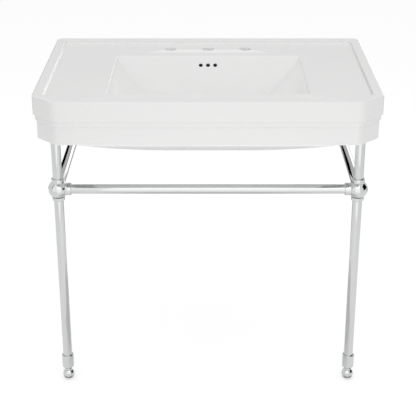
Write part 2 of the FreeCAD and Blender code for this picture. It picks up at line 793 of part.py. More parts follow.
def make_foot(word, x):
    """Ferrule, threaded insert and the levelling foot that screws into it."""
    ferrule = new_body("foot_ferrule_" + word)
    cup = new_sketch(ferrule, "ferrule_cup_" + word, "XZ_Plane")
    draw_outline(cup, [
        (size.stem_hole_radius, size.ferrule_bottom), (size.ferrule_foot_radius, size.ferrule_bottom),
        (size.ferrule_radius, size.ferrule_shoulder), (size.ferrule_radius, size.ferrule_top),
        (bore_radius, size.ferrule_top), (bore_radius, leg_foot), (size.stem_hole_radius, leg_foot),
    ])
    revolve(ferrule, cup)
    rim = edge_is_ring("z", size.ferrule_radius, size.ferrule_top)
    bevel_edges(ferrule, "ferrule_rim_" + word, size.ferrule_bevel, rim)
    shoulder = edge_is_ring("z", size.ferrule_radius, size.ferrule_shoulder)
    round_edges(ferrule, "ferrule_shoulder_" + word, size.ferrule_bevel, shoulder)
    place(ferrule, x, leg_y)

    insert = new_body("foot_insert_" + word)
    bush = new_sketch(insert, "insert_bush_" + word, "XY_Plane", leg_foot)
    draw_circle(bush, tube_bore)
    draw_circle(bush, size.stem_radius + size.stem_fit)
    pad(insert, bush, size.insert_length)
    place(insert, x, leg_y)

    foot = new_body("levelling_foot_" + word)
    outline = new_sketch(foot, "foot_outline_" + word, "XZ_Plane")
    centre_z = size.foot_ball_radius - size.foot_flat
    flat = (size.foot_ball_radius ** 2 - centre_z ** 2) ** 0.5
    neck_z = centre_z + (size.foot_ball_radius ** 2 - size.foot_neck_radius ** 2) ** 0.5
    stem_top = size.ferrule_bottom + size.stem_length
    lead = size.stem_radius / 5
    draw_outline(outline, [
        (0, 0), (flat, 0), (size.foot_neck_radius, neck_z), (size.foot_neck_radius, size.ferrule_bottom),
        (size.stem_radius, size.ferrule_bottom), (size.stem_radius, stem_top - lead),
        (size.stem_radius - lead, stem_top), (0, stem_top),
    ], {1: ((0, centre_z), size.foot_ball_radius)})
    revolve(foot, outline)
    place(foot, x, leg_y)


# ---------------------------------------------------------------------------
# Build, check and write
# ---------------------------------------------------------------------------

def check_and_write():
    doc.recompute()
    for item in doc.Objects:
        if "Invalid" in item.State or "Error" in item.State:
            raise RuntimeError(item.Name + " failed: " + str(item.State))
    for piece in parts:
        if piece.Shape.isNull() or not piece.Shape.isValid():
            raise RuntimeError(piece.Label + " has no valid shape")
    os.makedirs("parts", exist_ok=True)
    for piece in parts:
        piece.Shape.exportStep("parts/" + piece.Label + ".step")
        litres = piece.Shape.Volume / 1e6
        print(piece.Label, len(piece.Shape.Solids), "solid(s)", round(litres, 4), "litres")


make_basin()
make_frame()
check_and_write()
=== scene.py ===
# %% [markdown]
# # A console sink with chromed legs
# The real object is one large casting of vitreous china, glazed white, whose front rests on two
# chrome-plated legs. Here the casting and each turned or drawn metal piece is worked out as a
# surface with numpy, around a frame whose sizes are already fixed. The frame says where a piece
# goes and how large it is, so most numbers below are read from it.

# %% Load the frame
import math

import bmesh
import bpy
import numpy as np
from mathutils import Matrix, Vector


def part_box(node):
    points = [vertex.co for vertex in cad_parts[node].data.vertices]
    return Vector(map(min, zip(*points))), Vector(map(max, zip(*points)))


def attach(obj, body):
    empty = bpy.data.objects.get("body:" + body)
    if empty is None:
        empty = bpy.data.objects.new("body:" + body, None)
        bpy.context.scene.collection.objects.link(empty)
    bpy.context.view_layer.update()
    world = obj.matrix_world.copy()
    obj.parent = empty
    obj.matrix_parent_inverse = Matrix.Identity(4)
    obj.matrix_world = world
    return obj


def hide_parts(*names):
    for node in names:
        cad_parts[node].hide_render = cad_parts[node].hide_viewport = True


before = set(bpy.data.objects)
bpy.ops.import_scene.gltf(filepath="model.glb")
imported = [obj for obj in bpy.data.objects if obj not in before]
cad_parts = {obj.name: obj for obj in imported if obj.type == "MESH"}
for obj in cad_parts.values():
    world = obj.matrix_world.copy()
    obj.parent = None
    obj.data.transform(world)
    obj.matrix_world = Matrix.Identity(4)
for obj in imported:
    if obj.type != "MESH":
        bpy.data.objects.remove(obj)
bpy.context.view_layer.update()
MM = 0.001

# %% [markdown]
# ## The camera
# A product view is taken from far away with a long lens, so that upright lines stay nearly
# parallel. The place, tilt and lens below come from fitting the straight edges of the basin, the
# tap holes and the rails, so they are plain distances and one angle.

# %% Camera
CAMERA_HEIGHT = 1693.2 * MM
CAMERA_BEFORE_RIM = 2476.2 * MM
CAMERA_TILT = math.radians(23.709)
CAMERA_LENS_MM, CAMERA_SENSOR_MM = 96.56, 36.0
basin_low, basin_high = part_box("basin")
camera_data = bpy.data.cameras.new("studio_camera")
camera_data.sensor_width = CAMERA_SENSOR_MM
camera_data.lens = CAMERA_LENS_MM
camera = bpy.data.objects.new("studio_camera", camera_data)
camera.location = (0.0, basin_low.y - CAMERA_BEFORE_RIM, CAMERA_HEIGHT)
camera.rotation_euler = (math.pi / 2 - CAMERA_TILT, 0.0, 0.0)
bpy.context.collection.objects.link(camera)
bpy.context.scene.camera = camera
bpy.context.scene.view_settings.view_transform = "Standard"
print("camera at", tuple(round(value, 3) for value in camera.location))

# %% [markdown]
# ## Helpers for materials
# Colours are written as sRGB hex values, as a paint chart gives them, and turned to the linear
# values that the shader works with. One small function adds a node with its settings and its
# links, so a material reads as a list of what feeds what.


# %% Material helpers
# A Mix node has inputs and outputs for every type under the same names, so its colours go by place.
MIX_FIRST, MIX_SECOND, MIX_RESULT = 6, 7, 2
# A Noise node's values seldom leave this range, so a Map Range node starts from it.
NOISE_RANGE = {"From Min": 0.3, "From Max": 0.7}


def linear(hex_colour):
    """Each channel to linear: over 0.04045, ((c + 0.055) / 1.055) to the power 2.4, else c / 12.92."""
    channels = np.array([int(hex_colour[start:start + 2], 16) for start in (1, 3, 5)]) / 255.0
    curved = ((channels + 0.055) / 1.055) ** 2.4
    return (*np.where(channels > 0.04045, curved, channels / 12.92).tolist(), 1.0)


def join(tree, node, links):
    """Link each source socket into the node's input of that name."""
    for name, source in dict(links).items():
        tree.links.new(source, node.inputs[name])


def add_node(tree, kind, links=(), inputs=(), **settings):
    """A node of a kind, with its settings, the values of its inputs, and the links into them."""
    node = tree.nodes.new(kind)
    for name, value in settings.items():
        setattr(node, name, value)
    for name, value in dict(inputs).items():
        node.inputs[name].default_value = value
    join(tree, node, links)
    return node


def new_material(name, base, roughness, metallic=0.0, **sockets):
    """A material with one principled shader; further sockets are given by name."""
    material = bpy.data.materials.new(name)
    material.use_nodes = True
    shader = material.node_tree.nodes["Principled BSDF"]
    shader.inputs["Base Color"].default_value = linear(base)
    shader.inputs["Roughness"].default_value = roughness
    shader.inputs["Metallic"].default_value = metallic
    for socket, value in sockets.items():
        shader.inputs[socket.replace("_", " ")].default_value = value
    return material, material.node_tree, shader


def clouds(tree, cloud_mm, detail, first, second):
    """Noise whose clouds are cloud_mm across, at a scale of 1 / size, and the colour between two that
    it picks. Both come back as the sockets that give them."""
    place = add_node(tree, "ShaderNodeTexCoord")
    noise = add_node(tree, "ShaderNodeTexNoise", {"Vector": place.outputs["Object"]},
                     {"Scale": 1 / (cloud_mm * MM), "Detail": detail})
    colour = add_node(tree, "ShaderNodeMix", {"Factor": noise.outputs["Fac"]},
                      {MIX_FIRST: linear(first), MIX_SECOND: linear(second)}, data_type="RGBA")
    return noise.outputs["Fac"], colour.outputs[MIX_RESULT]


# %% [markdown]
# ## Vitreous china
# The casting is dipped in white glaze and fired. Glaze is glass: its IOR is near 1.5 and it is
# almost mirror-smooth, yet it never lies quite flat. It pulls into long, shallow waves some tens
# of millimetres across, and that is what tells glaze from plastic. The body's white varies a
# little, by less than the eye names.

# %% Material: glazed vitreous china
GLAZE_WAVE_MM, GLAZE_WAVE_DEEP_MM = 55.0, 0.25
BODY_TONE_MM = 160.0
china, china_tree, china_shader = new_material("glazed_vitreous_china", "#EFEFEF", 0.1, IOR=1.5)
_, body_white = clouds(china_tree, BODY_TONE_MM, 3.0, "#EEEEEE", "#F0F0EF")
china_place = add_node(china_tree, "ShaderNodeTexCoord")
glaze_wave = add_node(china_tree, "ShaderNodeTexNoise", {"Vector": china_place.outputs["Object"]},
                      {"Scale": 1 / (GLAZE_WAVE_MM * MM), "Detail": 1.0})
glaze_gloss = add_node(china_tree, "ShaderNodeMapRange", {"Value": glaze_wave.outputs["Fac"]},
                       {**NOISE_RANGE, "To Min": 0.08, "To Max": 0.13})
glaze_relief = add_node(china_tree, "ShaderNodeBump", {"Height": glaze_wave.outputs["Fac"]},
                        {"Strength": 1.0, "Distance": GLAZE_WAVE_DEEP_MM * MM})
join(china_tree, china_shader, {"Base Color": body_white,
                                "Roughness": glaze_gloss.outputs["Result"],
                                "Normal": glaze_relief.outputs["Normal"]})
print("made", china.name)

# %% [markdown]
# Inside the overflow the casting is raw: no glaze runs in there, and it stays stained and dull.
# Bare clay body scatters light with no gloss at all, so it is rough, and its tone is broken into
# clouds. Its colour is a dark grey that is mostly painted shade, for the dark inside the hollow.

# %% Material: unglazed china inside the overflow, darkened with painted shade
CLAY_GRAIN_MM = 2.0
# Both greys are painted shade for the hollow; the clouds between them are the clay's uneven tone.
raw_china_painted_shade, raw_tree, raw_shader = new_material("unglazed_china_painted_shade", "#5A5856", 0.9, IOR=1.5)
_, clay_tone_and_painted_shade = clouds(raw_tree, CLAY_GRAIN_MM, 4.0, "#4C4A48", "#6A6764")
join(raw_tree, raw_shader, {"Base Color": clay_tone_and_painted_shade})
print("made", raw_china_painted_shade.name)

# %% [markdown]
# ## Chrome plate
# The tubes and turnings are brass, polished, then plated with nickel and a thin skin of chromium.
# Chromium reflects a little over half the light that falls on it, nearly the same at every
# wavelength, so in a white room it looks mid grey. Its polish leaves only the faintest haze, which
# a slow change of roughness gives.

# %% Material: polished chrome plate
HAZE_MM = 30.0
chrome, chrome_tree, chrome_shader = new_material("polished_chrome_plate", "#CACBCB", 0.05, metallic=1.0)
haze, chrome_colour = clouds(chrome_tree, HAZE_MM, 3.0, "#C8C9C9", "#CCCDCD")
chrome_polish = add_node(chrome_tree, "ShaderNodeMapRange", {"Value": haze},
                         {**NOISE_RANGE, "To Min": 0.03, "To Max": 0.075})
join(chrome_tree, chrome_shader, {"Base Color": chrome_colour, "Roughness": chrome_polish.outputs["Result"]})
print("made", chrome.name)

# %% [markdown]
# ## Zinc plate
# Set screws are steel with a thin coat of zinc. It dries in pale and dark blooms about as wide as
# the screw's socket, duller where it is pale, and it never takes the shine of chrome.

# %% Material: zinc-plated steel
ZINC_BLOOM_MM = 1.5
zinc, zinc_tree, zinc_shader = new_material("zinc_plated_steel", "#A9ABAD", 0.38, metallic=1.0)
zinc_bloom, zinc_colour = clouds(zinc_tree, ZINC_BLOOM_MM, 3.0, "#9C9EA1", "#B6B8BA")
zinc_dullness = add_node(zinc_tree, "ShaderNodeMapRange", {"Value": zinc_bloom},
                         {**NOISE_RANGE, "To Min": 0.3, "To Max": 0.5})
join(zinc_tree, zinc_shader, {"Base Color": zinc_colour, "Roughness": zinc_dullness.outputs["Result"]})
print("made", zinc.name)

# %% [markdown]
# ## Nylon and rubber
# The plug in a leg's top is moulded nylon. Its mould was eroded by sparks, which leaves a fine even
# grain. The pad above it is soft rubber, whose wax blooms to the surface in faint paler clouds.

# %% Materials: moulded nylon and soft rubber
SPARK_GRAIN_MM, SPARK_DEEP_MM = 0.6, 0.05
nylon, nylon_tree, nylon_shader = new_material("moulded_black_nylon", "#202020", 0.55, IOR=1.53)
spark_grain, nylon_colour = clouds(nylon_tree, SPARK_GRAIN_MM, 2.0, "#1C1C1C", "#262626")
nylon_relief = add_node(nylon_tree, "ShaderNodeBump", {"Height": spark_grain},
                        {"Strength": 1.0, "Distance": SPARK_DEEP_MM * MM})
join(nylon_tree, nylon_shader, {"Base Color": nylon_colour, "Normal": nylon_relief.outputs["Normal"]})

RUBBER_CLOUD_MM, RUBBER_DEEP_MM = 4.0, 0.08
rubber, rubber_tree, rubber_shader = new_material("soft_black_rubber", "#161616", 0.8, IOR=1.52)
rubber_cloud, rubber_colour = clouds(rubber_tree, RUBBER_CLOUD_MM, 4.0, "#121212", "#1E1E1D")
rubber_relief = add_node(rubber_tree, "ShaderNodeBump", {"Height": rubber_cloud},
                         {"Strength": 1.0, "Distance": RUBBER_DEEP_MM * MM})
join(rubber_tree, rubber_shader, {"Base Color": rubber_colour, "Normal": rubber_relief.outputs["Normal"]})
print("made", nylon.name, rubber.name)

# %% [markdown]
# ## Turned brass
# The insert that a foot screws into is brass from the lathe. The tool leaves rings round it, so the
# noise is drawn out twenty times across the leg and stays fine along it.

# %% Material: turned brass
TOOL_MARK_MM, TOOL_MARK_STRETCH = 0.4, 20.0
brass, brass_tree, brass_shader = new_material("turned_brass", "#C9A35B", 0.25, metallic=1.0)
brass_place = add_node(brass_tree, "ShaderNodeTexCoord")
brass_drawn = add_node(brass_tree, "ShaderNodeMapping", {"Vector": brass_place.outputs["Object"]},
                       {"Scale": (1 / TOOL_MARK_STRETCH, 1 / TOOL_MARK_STRETCH, 1.0)})
tool_marks = add_node(brass_tree, "ShaderNodeTexNoise", {"Vector": brass_drawn.outputs["Vector"]},
                      {"Scale": 1 / (TOOL_MARK_MM * MM), "Detail": 1.0})
brass_colour = add_node(brass_tree, "ShaderNodeMix", {"Factor": tool_marks.outputs["Fac"]},
                        {MIX_FIRST: linear("#BE9850"), MIX_SECOND: linear("#D2AD66")}, data_type="RGBA")
brass_polish = add_node(brass_tree, "ShaderNodeMapRange", {"Value": tool_marks.outputs["Fac"]},
                        {**NOISE_RANGE, "To Min": 0.18, "To Max": 0.34})
join(brass_tree, brass_shader, {"Base Color": brass_colour.outputs[MIX_RESULT],
                                "Roughness": brass_polish.outputs["Result"]})
print("made", brass.name)

# %% [markdown]
# ## Tarnish and painted shade in a groove
# A groove is turned at the foot of each lower collar, where it meets its ball. Plating hardly
# reaches into a narrow groove, and no polish does, so the brass there goes dull. Its near-black
# colour is mostly painted shade: it draws the thin dark line under the ball, where shade falls
# between ball and collar.

# %% Material: tarnished groove with painted shade
TARNISH_AND_SHADE_MM = 1.0
# The near-black greys are mostly painted shade for the line under the ball, over a dull tarnish.
tarnish_and_shade, tarnish_and_shade_tree, tarnish_and_shade_shader = new_material("groove_tarnish_and_painted_shade", "#232220", 0.7, IOR=1.5)
_, tarnish_and_shade_colour = clouds(tarnish_and_shade_tree, TARNISH_AND_SHADE_MM, 3.0, "#1E1D1B", "#2A2926")
join(tarnish_and_shade_tree, tarnish_and_shade_shader, {"Base Color": tarnish_and_shade_colour})
print("made", tarnish_and_shade.name)

# %% [markdown]
# ## Helpers for surfaces
# Almost everything here is a grid: rows of points, each row joined to the next by four-sided
# faces. A ring of points that grows, shrinks and moves makes a skirt, a bowl or a tube. All
# points of a grid are worked out at once as one array.


# %% Grid and outline helpers
SAME_POINT, NO_LENGTH, SAME_LEVEL = 0.002 * MM, 0.001 * MM, 0.01 * MM
LIP_STEPS = 6


def grid_faces(rows, columns, close_rows=False):
    """Quads of a grid of rows of points; every row is a closed ring, and close_rows joins last to first."""
    row = np.arange(rows if close_rows else rows - 1)[:, None]
    column = np.arange(columns)[None, :]
    next_row, next_column = (row + 1) % rows, (column + 1) % columns
    corners = (row * columns + column, row * columns + next_column,
               next_row * columns + next_column, next_row * columns + column)
    return np.stack(np.broadcast_arrays(*corners), axis=-1).reshape(-1, 4)


def rounded_path(corners, radii, steps):
    """Corner by corner, a circle of the corner's radius that touches both of its sides, in equal turns.

    The arc starts radius x tan(turn / 2) before the corner, and its centre lies one radius to the
    side that the path turns to."""
    corners = np.asarray(corners, float)
    arrive = corners - np.roll(corners, 1, axis=0)
    arrive /= np.linalg.norm(arrive, axis=1)[:, None]
    leave = np.roll(arrive, -1, axis=0)
    across = arrive[:, 0] * leave[:, 1] - arrive[:, 1] * leave[:, 0]
    turn = np.arctan2(across, (arrive * leave).sum(axis=1))
    radii = np.broadcast_to(np.asarray(radii, float), turn.shape)
    start = corners - (radii * np.tan(np.abs(turn) / 2))[:, None] * arrive
    sideways = np.stack([-arrive[:, 1], arrive[:, 0]], axis=1) * np.sign(turn)[:, None]
    centre = start + radii[:, None] * sideways
    angle = turn[:, None] * np.linspace(0.0, 1.0, steps + 1)[None, :]
    cosine, sine = np.cos(angle)[..., None], np.sin(angle)[..., None]
    spoke = (start - centre)[:, None, :]
    turned_spoke = np.concatenate([spoke[..., :1] * cosine - spoke[..., 1:] * sine,
                                   spoke[..., :1] * sine + spoke[..., 1:] * cosine], axis=-1)
    return (centre[:, None, :] + turned_spoke).reshape(-1, 2)


def arc_levels(start, stop, steps):
    """Angles from start to stop in equal steps, both ends kept, in radians."""
    return np.radians(np.linspace(start, stop, steps + 1))


def make_piece(name, parts, material, slot, sharp_angle):
    """One mesh object from (points, faces) parts, its doubles merged and its faces turned outwards."""
    points = np.concatenate([part[0].reshape(-1, 3) for part in parts])
    starts = np.cumsum([0] + [part[0].reshape(-1, 3).shape[0] for part in parts[:-1]])
    faces = [face for part, start in zip(parts, starts) for face in (np.asarray(part[1]) + start).tolist()]
    mesh = bpy.data.meshes.new(name)
    mesh.from_pydata(points.tolist(), [], faces)
    mesh.materials.append(material)
    piece = bpy.data.objects.new(name, mesh)
    bpy.context.collection.objects.link(piece)
    tidy_mesh(piece, sharp_angle)
    piece["slot_name"] = slot
    return piece


def shade(piece, sharp_angle):
    """Smooth shading, but for the edges where two faces meet at more than an angle in degrees."""
    piece.data.shade_smooth()
    piece.data.set_sharp_from_angle(angle=math.radians(sharp_angle))


def tidy_mesh(piece, sharp_angle, caps=()):
    """Merge doubles, fill the open rings that lie in each cap's level plane, and face outwards."""
    work = bmesh.new()
    work.from_mesh(piece.data)
    bmesh.ops.remove_doubles(work, verts=work.verts, dist=SAME_POINT)
    bmesh.ops.dissolve_degenerate(work, edges=work.edges, dist=NO_LENGTH)
    for level in caps:
        rim = [edge for edge in work.edges if edge.is_boundary
               and all(abs(vertex.co.z - level) < SAME_LEVEL for vertex in edge.verts)]
        bmesh.ops.triangle_fill(work, edges=rim, use_beauty=True, normal=(0.0, 0.0, 1.0))
    bmesh.ops.recalc_face_normals(work, faces=work.faces)
    work.to_mesh(piece.data)
    work.free()
    shade(piece, sharp_angle)


def finish_piece(piece, body, *nodes):
    """The piece rides on a body, the frame's nodes that it is built for are hidden, and its slot name is
    dropped.
    """
    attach(piece, body)
    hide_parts(*nodes)
    del piece["slot_name"]
    print(piece.name, "has", len(piece.data.polygons), "faces")


# %% [markdown]
# ## The basin's outside
# The plan is a rectangle with its two front corners cut at 45 degrees, and every corner is rounded.
# A ring of that plan is moved in, out, up and down along one profile: from the deck up a small
# cove, over the raised border, round the rim, then down three bands that step back under each
# other. The ring's four distances from the plan's sides are set apart, because the border is
# wider at the back than at the front, and because the back stays flat against the wall.

# %% Basin: the plan and its profile
HALF_WIDTH = basin_high.x
FRONT, WALL, RIM = basin_low.y, basin_high.y, basin_high.z
CORNER_CUT = 54 * MM
PLAN_ROUNDING = np.array([30, 30, 12, 18, 18, 12]) * MM
DECK_DROP, DECK_THICKNESS = 8 * MM, 16 * MM
DECK = RIM - DECK_DROP
BORDER_SIDE, BORDER_FRONT, BORDER_BACK, BORDER_CORNER = (width * MM for width in (25, 20, 30, 23))
BORDER_ROUNDING, BORDER_EDGE, DECK_COVE = 9 * MM, 2 * MM, 5 * MM
EDGE = 2.5 * MM
MIDDLE_INSET, LOWER_INSET = 4.3 * MM, 8 * MM
UPPER_BOTTOM = RIM - 49 * MM
MIDDLE_BOTTOM = UPPER_BOTTOM - 14 * MM
SKIRT_BOTTOM = MIDDLE_BOTTOM - 47 * MM
PLAN_STEPS, ARC_STEPS = 10, 8
CHINA_SHARP_ANGLE = 35.0


def plan_ring(side, front, back, corner, radii):
    """The plan with its sides moved inwards; the cut runs where x - y is constant, less corner x root 2."""
    cut_line = HALF_WIDTH - CORNER_CUT - FRONT - corner * math.sqrt(2.0)
    front_y, side_x, back_y = FRONT + front, HALF_WIDTH - side, WALL - back
    front_x, side_y = cut_line + front_y, side_x - cut_line
    corners = [(-front_x, front_y), (front_x, front_y), (side_x, side_y),
               (side_x, back_y), (-side_x, back_y), (-side_x, side_y)]
    return rounded_path(corners, radii, PLAN_STEPS)


def border_ring(inwards, height):
    """The plan less the border's four widths, moved further inwards, at a height."""
    ring = plan_ring(BORDER_SIDE + inwards, BORDER_FRONT + inwards, BORDER_BACK + inwards,
                     BORDER_CORNER + inwards, BORDER_ROUNDING - inwards)
    return np.column_stack([ring, np.full(len(ring), height)])


def skirt_ring(inwards, height, back=0.0):
    """The plan with its front, sides and cuts moved inwards, at a height; its roundings lose as much."""
    ring = plan_ring(inwards, inwards, back, inwards, PLAN_ROUNDING - inwards)
    return np.column_stack([ring, np.full(len(ring), height)])


def lower_edge_rings(inset, bottom, back_turns=False):
    """A quarter circle from a band's face to its underside.

    At an angle a it lies EDGE x (1 - cos a) inwards and EDGE x (1 - sin a) above the underside."""
    turn = arc_levels(0, 90, ARC_STEPS)
    inwards, heights = inset + EDGE * (1 - np.cos(turn)), bottom + EDGE * (1 - np.sin(turn))
    backs = inwards - inset if back_turns else np.zeros_like(inwards)
    return [skirt_ring(*row) for row in zip(inwards, heights, backs)]


# Every round here is a quarter circle: at an angle a it lies radius x (1 - sin a) from one of the two
# faces that it joins and radius x (1 - cos a) from the other.
cove_turn, border_turn, rim_turn = (arc_levels(*ends, ARC_STEPS) for ends in ((0, 90), (0, 90), (90, 0)))
outer_rings = [border_ring(DECK_COVE * (1 - math.sin(turn)), DECK + DECK_COVE * (1 - math.cos(turn)))
               for turn in cove_turn]
outer_rings += [border_ring(-BORDER_EDGE * (1 - math.cos(turn)), RIM - BORDER_EDGE * (1 - math.sin(turn)))
                for turn in border_turn]
outer_rings += [skirt_ring(EDGE * (1 - math.cos(turn)), RIM - EDGE * (1 - math.sin(turn)),
                           EDGE * (1 - math.cos(turn))) for turn in rim_turn]
outer_rings += lower_edge_rings(0.0, UPPER_BOTTOM)
outer_rings += [skirt_ring(MIDDLE_INSET, UPPER_BOTTOM)] + lower_edge_rings(MIDDLE_INSET, MIDDLE_BOTTOM)
outer_rings += [skirt_ring(LOWER_INSET, MIDDLE_BOTTOM)]
outer_rings += lower_edge_rings(LOWER_INSET, SKIRT_BOTTOM, back_turns=True)
outside = np.array(outer_rings)
print("outside grid:", outside.shape)

# %% [markdown]
# ## The bowl
# The bowl is a stack of rounded rectangles. The two sides start upright and then sag inwards, the
# back is one long slope, and the front stays steep almost to the floor. Each wall's reach is a
# power of the depth, so the creases where the walls meet bend gently, as they do in the casting.
# Its lip is a round that is worked out point by point, because it turns through a right angle
# over the steep walls and through much less over the back slope.

# %% Basin: the bowl
BOWL_HALF = 245 * MM
BOWL_FRONT = FRONT + 91 * MM
BOWL_BACK = WALL - 151 * MM
BOWL_DEEP = 136 * MM
BOWL_FLOOR_HALF = 42 * MM
BOWL_CORNER, BOWL_FLOOR_CORNER, BOWL_CORNER_POWER = 6 * MM, 0.8 * BOWL_FLOOR_HALF, 4
BOWL_LIP = 4 * MM
DRAIN_Y = FRONT + 236 * MM
DRAIN_RADIUS, SEAT_RADIUS, SEAT_DEPTH = 22.5 * MM, 32 * MM, 3 * MM
SIDE_POWER, SIDE_CURVE, BACK_CURVE, FRONT_POWER, FRONT_CURVE = 1.25, 0.81, 1.13, 3.0, 0.68
BOX_STEPS = 14
LIP_SHARE, FLOOR_PART = 0.036, 0.08
WALL_ROWS, FLOOR_ROWS = 44, 12


def box_ring(half, near, far, corner, height):
    """A rounded rectangle at a height, with its points spread over its four corner arcs."""
    ring = rounded_path([(-half, near), (half, near), (half, far), (-half, far)], corner, BOX_STEPS)
    return np.column_stack([ring, np.full(len(ring), height)])


def bowl_ring(share):
    """Wall reach = floor + (top - floor) x (1 - share ^ power) ^ curve, for each wall's own numbers."""
    side_spread = (1 - share ** SIDE_POWER) ** SIDE_CURVE
    front_spread = (1 - share ** FRONT_POWER) ** FRONT_CURVE
    back_spread = (1 - share) ** BACK_CURVE
    half = BOWL_FLOOR_HALF + (BOWL_HALF - BOWL_FLOOR_HALF) * side_spread
    near = DRAIN_Y - BOWL_FLOOR_HALF - (DRAIN_Y - BOWL_FRONT - BOWL_FLOOR_HALF) * front_spread
    far = DRAIN_Y + BOWL_FLOOR_HALF + (BOWL_BACK - DRAIN_Y - BOWL_FLOOR_HALF) * back_spread
    corner = BOWL_CORNER + (BOWL_FLOOR_CORNER - BOWL_CORNER) * share ** BOWL_CORNER_POWER
    return box_ring(half, near, far, corner, DECK - BOWL_DEEP * share)


def lip_rings(edge, below, radius):
    """A round of the given radius between the level deck and the wall that runs from edge to below.

    The wall falls at an angle a, so the round starts radius x tan(a / 2) outside the edge."""
    wall = below - edge
    run = np.linalg.norm(wall[:, :2], axis=1)
    fall = np.arctan2(-wall[:, 2], run)
    forward = np.roll(edge, -1, axis=0) - np.roll(edge, 1, axis=0)
    outward = np.column_stack([forward[:, 1], -forward[:, 0], np.zeros(len(edge))])
    outward /= np.linalg.norm(outward, axis=1)[:, None]
    start = edge + (radius * np.tan(fall / 2))[:, None] * outward
    rings = []
    for share in np.linspace(0.0, 1.0, LIP_STEPS + 1):
        turn = fall * share
        ring = start - (radius * np.sin(turn))[:, None] * outward
        ring[:, 2] -= radius * (1 - np.cos(turn))
        rings.append(ring)
    return rings


# Down the walls the rows are evenly spaced, and over the last part they close up towards the floor.
wall_shares = np.linspace(LIP_SHARE, 1 - FLOOR_PART, WALL_ROWS)
floor_shares = 1 - FLOOR_PART * (1 - np.linspace(0, 1, FLOOR_ROWS)[1:]) ** 2
bowl_shares = np.concatenate([wall_shares, floor_shares])
bowl_rings = lip_rings(bowl_ring(0.0), bowl_ring(LIP_SHARE), BOWL_LIP)
bowl_rings += [bowl_ring(share) for share in bowl_shares]
bowl_floor = DECK - BOWL_DEEP
belly_floor = basin_low.z


def drain_ring(radius, height):
    """A circle round the drain: a rounded square whose four corner arcs meet."""
    return box_ring(radius, DRAIN_Y - radius, DRAIN_Y + radius, radius, height)


SEAT_EDGE = 0.8 * MM
drain_profile = [(SEAT_RADIUS + SEAT_EDGE, bowl_floor), (SEAT_RADIUS, bowl_floor - SEAT_EDGE),
                 (SEAT_RADIUS, bowl_floor - SEAT_DEPTH), (DRAIN_RADIUS, bowl_floor - SEAT_DEPTH),
                 (DRAIN_RADIUS, belly_floor)]
bowl_rings += [drain_ring(*row) for row in drain_profile]
bowl = np.array(bowl_rings)
print("bowl grid:", bowl.shape)

# %% [markdown]
# ## The underside
# Below the skirt the casting swells like a shallow boat, from just behind the front edge down to
# the drain. It is a second stack of rounded rectangles. Around it, and under the deck, the real
# casting is open, which a solid cutter takes out of the finished outside.

# %% Basin: the belly and the tap holes
BELLY_HALF = HALF_WIDTH - 88 * MM
BELLY_FRONT, BELLY_BACK = FRONT + 14 * MM, WALL - 126 * MM
BELLY_FLOOR_HALF, BELLY_FLOOR_FRONT, BELLY_FLOOR_BACK = 108 * MM, FRONT + 184 * MM, FRONT + 330 * MM
BELLY_TOP_CORNER, BELLY_FLOOR_CORNER = 24 * MM, 35 * MM
BELLY_POWER, BELLY_CURVE = 1.13, 0.93
BELLY_DEEP = SKIRT_BOTTOM - belly_floor
BELLY_ROWS = 40
TAP_Y, TAP_SPACING, TAP_RADIUS, TAP_LIP = WALL - 84.3 * MM, 101.6 * MM, 16.5 * MM, 1.2 * MM
TAP_END = DECK - DECK_THICKNESS - 1 * MM
TAP_LIP_STEPS, TAP_SEGMENTS = 5, 48


def belly_ring(share):
    """Every side moves in by 1 - (1 - share ^ power) ^ curve of its way to the floor's outline."""
    inwards = 1 - (1 - share ** BELLY_POWER) ** BELLY_CURVE
    half = BELLY_HALF + (BELLY_FLOOR_HALF - BELLY_HALF) * inwards
    near = BELLY_FRONT + (BELLY_FLOOR_FRONT - BELLY_FRONT) * inwards
    far = BELLY_BACK + (BELLY_FLOOR_BACK - BELLY_BACK) * inwards
    corner = BELLY_TOP_CORNER + (BELLY_FLOOR_CORNER - BELLY_TOP_CORNER) * share
    return box_ring(half, near, far, corner, SKIRT_BOTTOM - BELLY_DEEP * share)


def tap_hole(x):
    """A bore with a rounded lip, closed below the deck, where the hollow's cutter opens it.

    The lip is a quarter circle: at an angle a it lies TAP_LIP x (1 - sin a) outside the bore."""
    turn = arc_levels(0, 90, TAP_LIP_STEPS)
    radii = np.concatenate([TAP_RADIUS + TAP_LIP * (1 - np.sin(turn)), [TAP_RADIUS]])
    heights = np.concatenate([DECK - TAP_LIP * (1 - np.cos(turn)), [TAP_END]])
    angle = np.linspace(0.0, math.tau, TAP_SEGMENTS, endpoint=False)
    return np.stack([x + radii[:, None] * np.cos(angle), TAP_Y + radii[:, None] * np.sin(angle),
                     np.broadcast_to(heights[:, None], (len(radii), len(angle)))], axis=-1)


belly = np.array([belly_ring(share) for share in np.linspace(0.0, 1.0, BELLY_ROWS)])
grids = [outside, bowl, belly] + [tap_hole(place * TAP_SPACING) for place in (-1, 0, 1)]
basin = make_piece("china_basin", [(grid, grid_faces(*grid.shape[:2])) for grid in grids],
                   china, "vitreous_china", CHINA_SHARP_ANGLE)
tidy_mesh(basin, CHINA_SHARP_ANGLE, caps=(DECK, SKIRT_BOTTOM, belly_floor, TAP_END))
print("basin outside has", len(basin.data.polygons), "faces")

# %% [markdown]
# ## Cutting the basin's hollows
# An exact Boolean is the right tool where a plain prism meets a finished surface: the hollow under
# the deck, the two sockets for the legs, the holes for the hangers, and the overflow's three holes
# with the chamber behind them. Each cutter is a closed solid with its own material, and the cut's
# walls take that material.


# %% Basin: cutters
def prism(outline, low, high, upright="z"):
    """A closed solid: the outline at two levels along z or x, its sides, and a face on each end."""
    outline = np.asarray(outline, float)
    rings = [np.column_stack([outline, np.full(len(outline), level)]) for level in (low, high)]
    points = np.array(rings)
    if upright == "x":
        points = points[..., [2, 0, 1]]
    count = len(outline)
    faces = grid_faces(2, count).tolist()
    return points, faces, [list(range(count)), list(range(count, 2 * count))]


